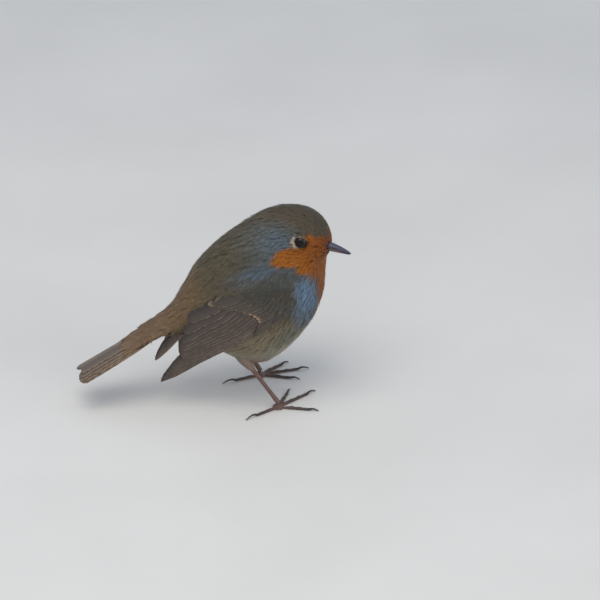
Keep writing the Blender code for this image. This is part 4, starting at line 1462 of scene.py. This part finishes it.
# %% [markdown]
# The tiny feathers stand on five rings, and are longer from each ring to the next.
# %% Ring of tiny feathers around each eye
# how many degrees from the lids' edge, how many feathers, and how many degrees they run on
EYE_RINGS = ((6, 62, 7), (10, 62, 9), (16, 60, 12), (23, 58, 14), (31, 56, 15))
for (side_name, side), centre in zip(SIDES, EYES):
    rng = np.random.default_rng(110 + side)
    around, first, length = [], [], []
    for ring_angle, count, reach in EYE_RINGS:
        turn = np.linspace(0, 2 * math.pi, count, endpoint=False)
        around.append(turn + rng.normal(0, 0.03, count))
        first.append(np.full(count, ring_angle) + rng.normal(0, 0.7, count))
        length.append(np.full(count, reach) * rng.uniform(0.85, 1.15, count))
    around, first, length = (np.concatenate(v)[:, None] for v in (around, first, length))
    turn = around - 0.22 * np.sin(around) * ROWS[None]
    angle = np.minimum(opening(turn) + np.radians(first + length * ROWS[None]), LID_LIMIT)
    on_lid = np.interp(np.degrees(angle - opening(turn)), LID_ANGLES, LID_RADII)
    tiny = polar(centre, eye_frame(side), angle, turn, on_lid - 0.05 + 0.24 * ROWS[None] ** 0.8)
    half = rng.uniform(0.16, 0.22, len(tiny)) + 0.004 * first[:, 0]
    piece = feathers(f"eye_ring_{side_name}", tiny, unit(tiny - centre), half, coat_material,
                     112 + side, barb_count=14, reach=1.5, thick=0.016)
    joins_bird(piece, "plumage_face")
print("eye rings:", len(tiny), "feathers each")

# %% [markdown]
# ## Bill, nostrils and gape
# The bill is thin horn, dark slate with paler cutting edges. Each half of it is taken from
# its own solid, made dense and smooth, and the nostril is pressed in as a slit near its
# root. The gape runs on behind the bill as a fold of bare skin, with a few stiff bristles.
# %% The bill
def dense(node_name, voxel):
    """A small solid as a dense smooth surface, in millimetres, with normals."""
    places, triangles = remeshed(*mesh_arrays(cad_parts[node_name].data), voxel)
    places = smoothed(places, neighbours(triangles), 3)
    return places, normals_of(places, triangles), triangles


horn, tree, shader = material("bill horn", 0.34, 0.45)
tone, streaks = speckled(tree, 900.0, 3.0, (44, 44, 56), (76, 76, 94))
tone = mixed(tree, attribute(tree, "pale"), tone, paint(150, 116, 104))
# the pressed-in nostril is painted almost black, as painted shade inside its opening
tone = mixed(tree, attribute(tree, "across"), tone, paint(10, 8, 8))
tree.links.new(tone, shader.inputs["Base Color"])
raised(tree, shader, streaks, 0.15, 0.03)

bill = {name: dense(name, voxel=0.13) for name in ("bill_upper", "bill_lower")}
for name, other in (("bill_upper", "bill_lower"), ("bill_lower", "bill_upper")):
    places, normals, triangles = bill[name]
    facing = BVHTree.FromPolygons(bill[other][0].tolist(), bill[other][2].tolist())
    gap = np.array([facing.find_nearest(p)[3] for p in places.tolist()])
    local = in_head(places)
    nostril = np.hypot((local[:, 0] - 18.6) / 0.75, (local[:, 2] - 74.75) / 0.24)
    pressed = (1 - ramp(nostril, 0.6, 1.3)) * (name == "bill_upper")
    pressed *= np.abs(local[:, 1]) > 0.5
    places = places - normals * (0.28 * pressed)[:, None]
    rear = 1 - ramp(local[:, 0], local[:, 0].min() + 0.15, local[:, 0].min() + 0.9)
    places = places + np.array(turn_z((-1.9, 0.0, 0.0), HEAD_TURN)) * rear[:, None]
    piece = made_object(f"horn_{name}", places, triangles, horn)
    store(piece, "pale", (1 - ramp(gap, 0.25, 0.75)) * 0.8 * (1 - ramp(local[:, 0], 19.0, 25.0)))
    # across holds the pressed nostril, which the horn material paints dark as shade
    store(piece, "across", pressed)
    joins_bird(piece, "horn", name)
print("bill:", [len(v[0]) for v in bill.values()], "vertices")

# %% [markdown]
# Thin things such as bristles are closed tubes along a path, thinner towards their ends.
# %% Tubes
def tube(points, radii, sides=8):
    """A closed tube along points."""
    points = np.asarray(points, dtype=float)
    ahead = unit(np.gradient(points, axis=0))
    side_way = unit(np.cross(ahead, (0.31, 0.2, 0.93)))
    other = np.cross(ahead, side_way)
    turn = np.linspace(0, 2 * math.pi, sides, endpoint=False)
    ring = (points[:, None] + np.asarray(radii)[:, None, None]
            * (side_way[:, None] * np.cos(turn)[None, :, None]
               + other[:, None] * np.sin(turn)[None, :, None]))
    count = len(points) * sides
    places = np.concatenate([ring.reshape(-1, 3), points[[0, -1]]])
    faces = ring_faces(len(points), sides).tolist()
    for k in range(sides):
        faces.append((count, (k + 1) % sides, k))
        last = count - sides
        faces.append((count + 1, last + k, last + (k + 1) % sides))
    return places, faces


def tubes(name, parts, surface):
    places, faces, offset = [], [], 0
    for part_places, part_faces in parts:
        places.append(part_places)
        faces += [tuple(v + offset for v in face) for face in part_faces]
        offset += len(part_places)
    return made_object(name, np.concatenate(places), faces, surface)


gape_skin = speckled_material("gape", 0.5, 0.4, 1500.0, 2.0, (132, 86, 56), (168, 120, 88))
bristle = speckled_material("bristles", 0.5, 0.3, 1500.0, 2.0, (30, 24, 22), (56, 44, 36))
print("materials:", [m.name for m in (gape_skin, bristle)])

# %% [markdown]
# Both lie on the flesh beside the root of the bill, and the bristles point forwards and out.
# %% Gape and bristles
def on_flesh(place, out):
    found, normal, _, _ = flesh_tree.find_nearest(place.tolist())
    return np.array(found) + np.array(normal) * (out - GROWN)


gapes, hairs = [], []
for side in (-1, 1):
    line = [head_place(16.9, side * 1.5, 74.15)]
    for t in np.linspace(0, 1, 9):
        guess = head_place(16.0 - 3.0 * t, side * (1.7 + 2.5 * t), 74.2 + 0.3 * t)
        line.append(on_flesh(guess, 0.06 - 0.2 * t))
    for lift, thick in ((0.08, 0.12), (-0.10, 0.10)):
        radii = thick * np.sin(np.linspace(0.35, 1.0, len(line)) * math.pi) + 0.03
        gapes.append(tube(np.array(line) + (0, 0, lift), radii))
    for k in range(7):
        root = on_flesh(head_place(15.6 - 0.42 * k, side * (1.9 + 0.42 * k), 74.9 - 0.12 * k), -0.2)
        way = turn_z((0.9 - 0.05 * k, side * (0.42 + 0.05 * k), -0.16 + 0.07 * k), HEAD_TURN)
        t = np.linspace(0, 1, 7)[:, None]
        length = 3.4 - 0.22 * k
        path = root + unit(way) * length * t + np.array((0, 0, -0.5)) * t ** 2
        hairs.append(tube(path, 0.045 * (1 - 0.85 * t[:, 0]) + 0.004, 5))
joins_bird(tubes("gape", gapes, gape_skin), "horn")
joins_bird(tubes("rictal_bristles", hairs, bristle), "plumage_face")
print("gape folds:", len(gapes), "bristles:", len(hairs))

# %% [markdown]
# ## Legs and feet
# A robin's shank is thin and covered by a few long smooth scutes; the toes have short scutes
# above and soft pads below, one under each joint, and end in curved claws. Each solid is
# made dense, and its scutes and pads are raised on it.
# %% Leg materials
leg, tree, shader = material("leg skin", 0.42, 0.4)
tone, _ = speckled(tree, 420.0, 4.0, (82, 61, 55), (124, 94, 83))
for name, over in (("along", (58, 54, 56)), ("across", (50, 36, 34)), ("pale", (158, 124, 98))):
    tone = mixed(tree, attribute(tree, name), tone, paint(*over))
tree.links.new(tone, shader.inputs["Base Color"])
raised(tree, shader, node(tree, "TexVoronoi", scale=3200.0).outputs["Distance"], 0.25, 0.03)

claw_horn = speckled_material("claw horn", 0.3, 0.5, 700.0, 2.0, (34, 28, 28), (66, 54, 50))
print("materials:", [m.name for m in (leg, claw_horn)])

# %% [markdown]
# A claw's root is drawn back into its toe, so that the horn grows out of the skin.
# %% One claw
TOES = ("hind", "inner", "middle", "outer")


def claw(side_name, toe, foot):
    """The horn at the end of one toe of the foot that stands there."""
    places, _, triangles = dense(f"claw_{side_name}_{toe}", voxel=0.09)
    away = (places - foot) * (1, 1, 0)
    far = np.linalg.norm(away, axis=1)
    root_share = 1 - ramp(far, far.min(), far.min() + 0.6)
    places = places - unit(away) * (0.5 * root_share)[:, None]
    piece = made_object(f"horn_claw_{side_name}_{toe}", places, triangles, claw_horn)
    joins_bird(piece, "horn", f"claw_{side_name}_{toe}")


print("toes of each foot:", TOES)

# %% [markdown]
# The solids of one leg are grown until they meet, joined, and sunk again by as much. On the
# toes the scutes count from the foot's middle, and on the shank they count down from above.
# %% Shanks, toes and claws
CLOSED = 0.75


def scutes(t, pitch, sharp):
    """Scales along t: how high, and how much of a groove."""
    phase = (t / pitch) % 1.0
    groove = np.exp(-(np.minimum(phase, 1 - phase) / sharp) ** 2)
    return 0.5 * phase * (1 - groove), groove


for side_name, _ in SIDES:
    names = [f"tarsus_{side_name}", f"sole_{side_name}"]
    names += [f"toe_{side_name}_{toe}" for toe in TOES]
    places, triangles = remeshed(*grown(names, CLOSED), voxel=0.15)
    places = smoothed(places, neighbours(triangles), 4)
    normals = normals_of(places, triangles)
    foot = to_mm(middle_of(f"sole_{side_name}"))
    on_toes = 1 - ramp(places[:, 2], 2.2, 3.4)
    t = np.linalg.norm((places - foot)[:, :2], axis=1)
    above = ramp(normals[:, 2], 0.0, 0.6) * on_toes * ramp(t, 1.5, 3.5)
    below = ramp(-normals[:, 2], -0.2, 0.5) * on_toes
    height, groove = scutes(t, 1.05, 0.14)
    _, joint = scutes(t + 1.2, 3.4, 0.22)
    joint = joint * ramp(t, 1.5, 3.5) * on_toes
    front = ramp(normals @ unit(np.array((0.85, 0.0, 0.5))), -0.1, 0.6) * (1 - on_toes)
    down = 24.0 - places[:, 2]
    long_height, long_groove = scutes(down + 0.5 * np.sin(down), 3.1, 0.07)
    lump = (0.12 * height - 0.07 * groove) * above + 0.10 * joint - 0.06 * below
    lump = lump + (0.10 * long_height - 0.06 * long_groove) * front - CLOSED + 0.05
    hub = (1 - ramp(t, 2.0, 3.2)) * on_toes
    lump = lump - 0.42 * hub + 0.2 * np.exp(-((t - 3.7) / 0.9) ** 2) * on_toes
    places = places + normals * lump[:, None]
    places[:, 2] = np.maximum(places[:, 2], 0.02)
    piece = made_object(f"leg_{side_name}", places, triangles, leg)
    store(piece, "across", 0.8 * (groove * above + long_groove * front))
    store(piece, "pale", below * 0.5)
    store(piece, "along", 0.8 * ramp(t, 2.0, 8.0) * on_toes)
    joins_bird(piece, "leg_skin", *names)
    print(piece.name, len(places), "vertices")
    for toe in TOES:
        claw(side_name, toe, foot)

# %% [markdown]
# Short soft feathers run down from the belly over the heel like trousers, and close around
# the top of the bare shank.
# %% Feathers around the heels
# where each ring starts, measured from the top of the shank, and its number of feathers
HEEL_RINGS = ((-7.5, 34), (-6.2, 34), (-5.0, 32), (-3.8, 30), (-2.8, 28))
for side_name, side in SIDES:
    rng = np.random.default_rng(120 + 12 * side)
    shank = mesh_arrays(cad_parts[f"tarsus_{side_name}"].data)[0]
    top = shank[shank[:, 2] > shank[:, 2].max() - 1.5].mean(axis=0)
    down = unit(shank[shank[:, 2] < shank[:, 2].min() + 1.5].mean(axis=0) - top)
    across = unit(np.cross(down, (0, 1, 0)))
    other = np.cross(down, across)
    turn, first = [], []
    for start_at, count in HEEL_RINGS:
        turn.append(np.linspace(0, 2 * math.pi, count, endpoint=False) + rng.normal(0, 0.1, count))
        first.append(np.full(count, start_at) + rng.normal(0, 0.4, count))
    turn, first = np.concatenate(turn), np.concatenate(first)
    length = rng.uniform(4.4, 6.0, len(turn))
    s = first[:, None] + ROWS[None] * length[:, None]
    radius = np.interp(s, (-7.5, -3.5, -1.0, 1.0, 3.5), (3.4, 3.1, 2.7, 2.15, 1.6))
    radius = radius - 0.45 * (1 - ROWS[None]) + rng.normal(0, 0.06, len(turn))[:, None]
    turn = turn[:, None] + rng.normal(0, 0.12, len(first))[:, None] * ROWS[None]
    ray = across * np.cos(turn)[..., None] + other * np.sin(turn)[..., None]
    spine_at = top + down * s[..., None] + ray * radius[..., None]
    half = rng.uniform(0.65, 0.9, len(turn))
    piece = feathers(f"trousers_{side_name}", spine_at, unit(ray + down * 0.25), half,
                     coat_material, 122, barb_count=26)
    joins_bird(piece, "plumage_thigh")
print("trousers:", len(turn), "feathers on each leg")
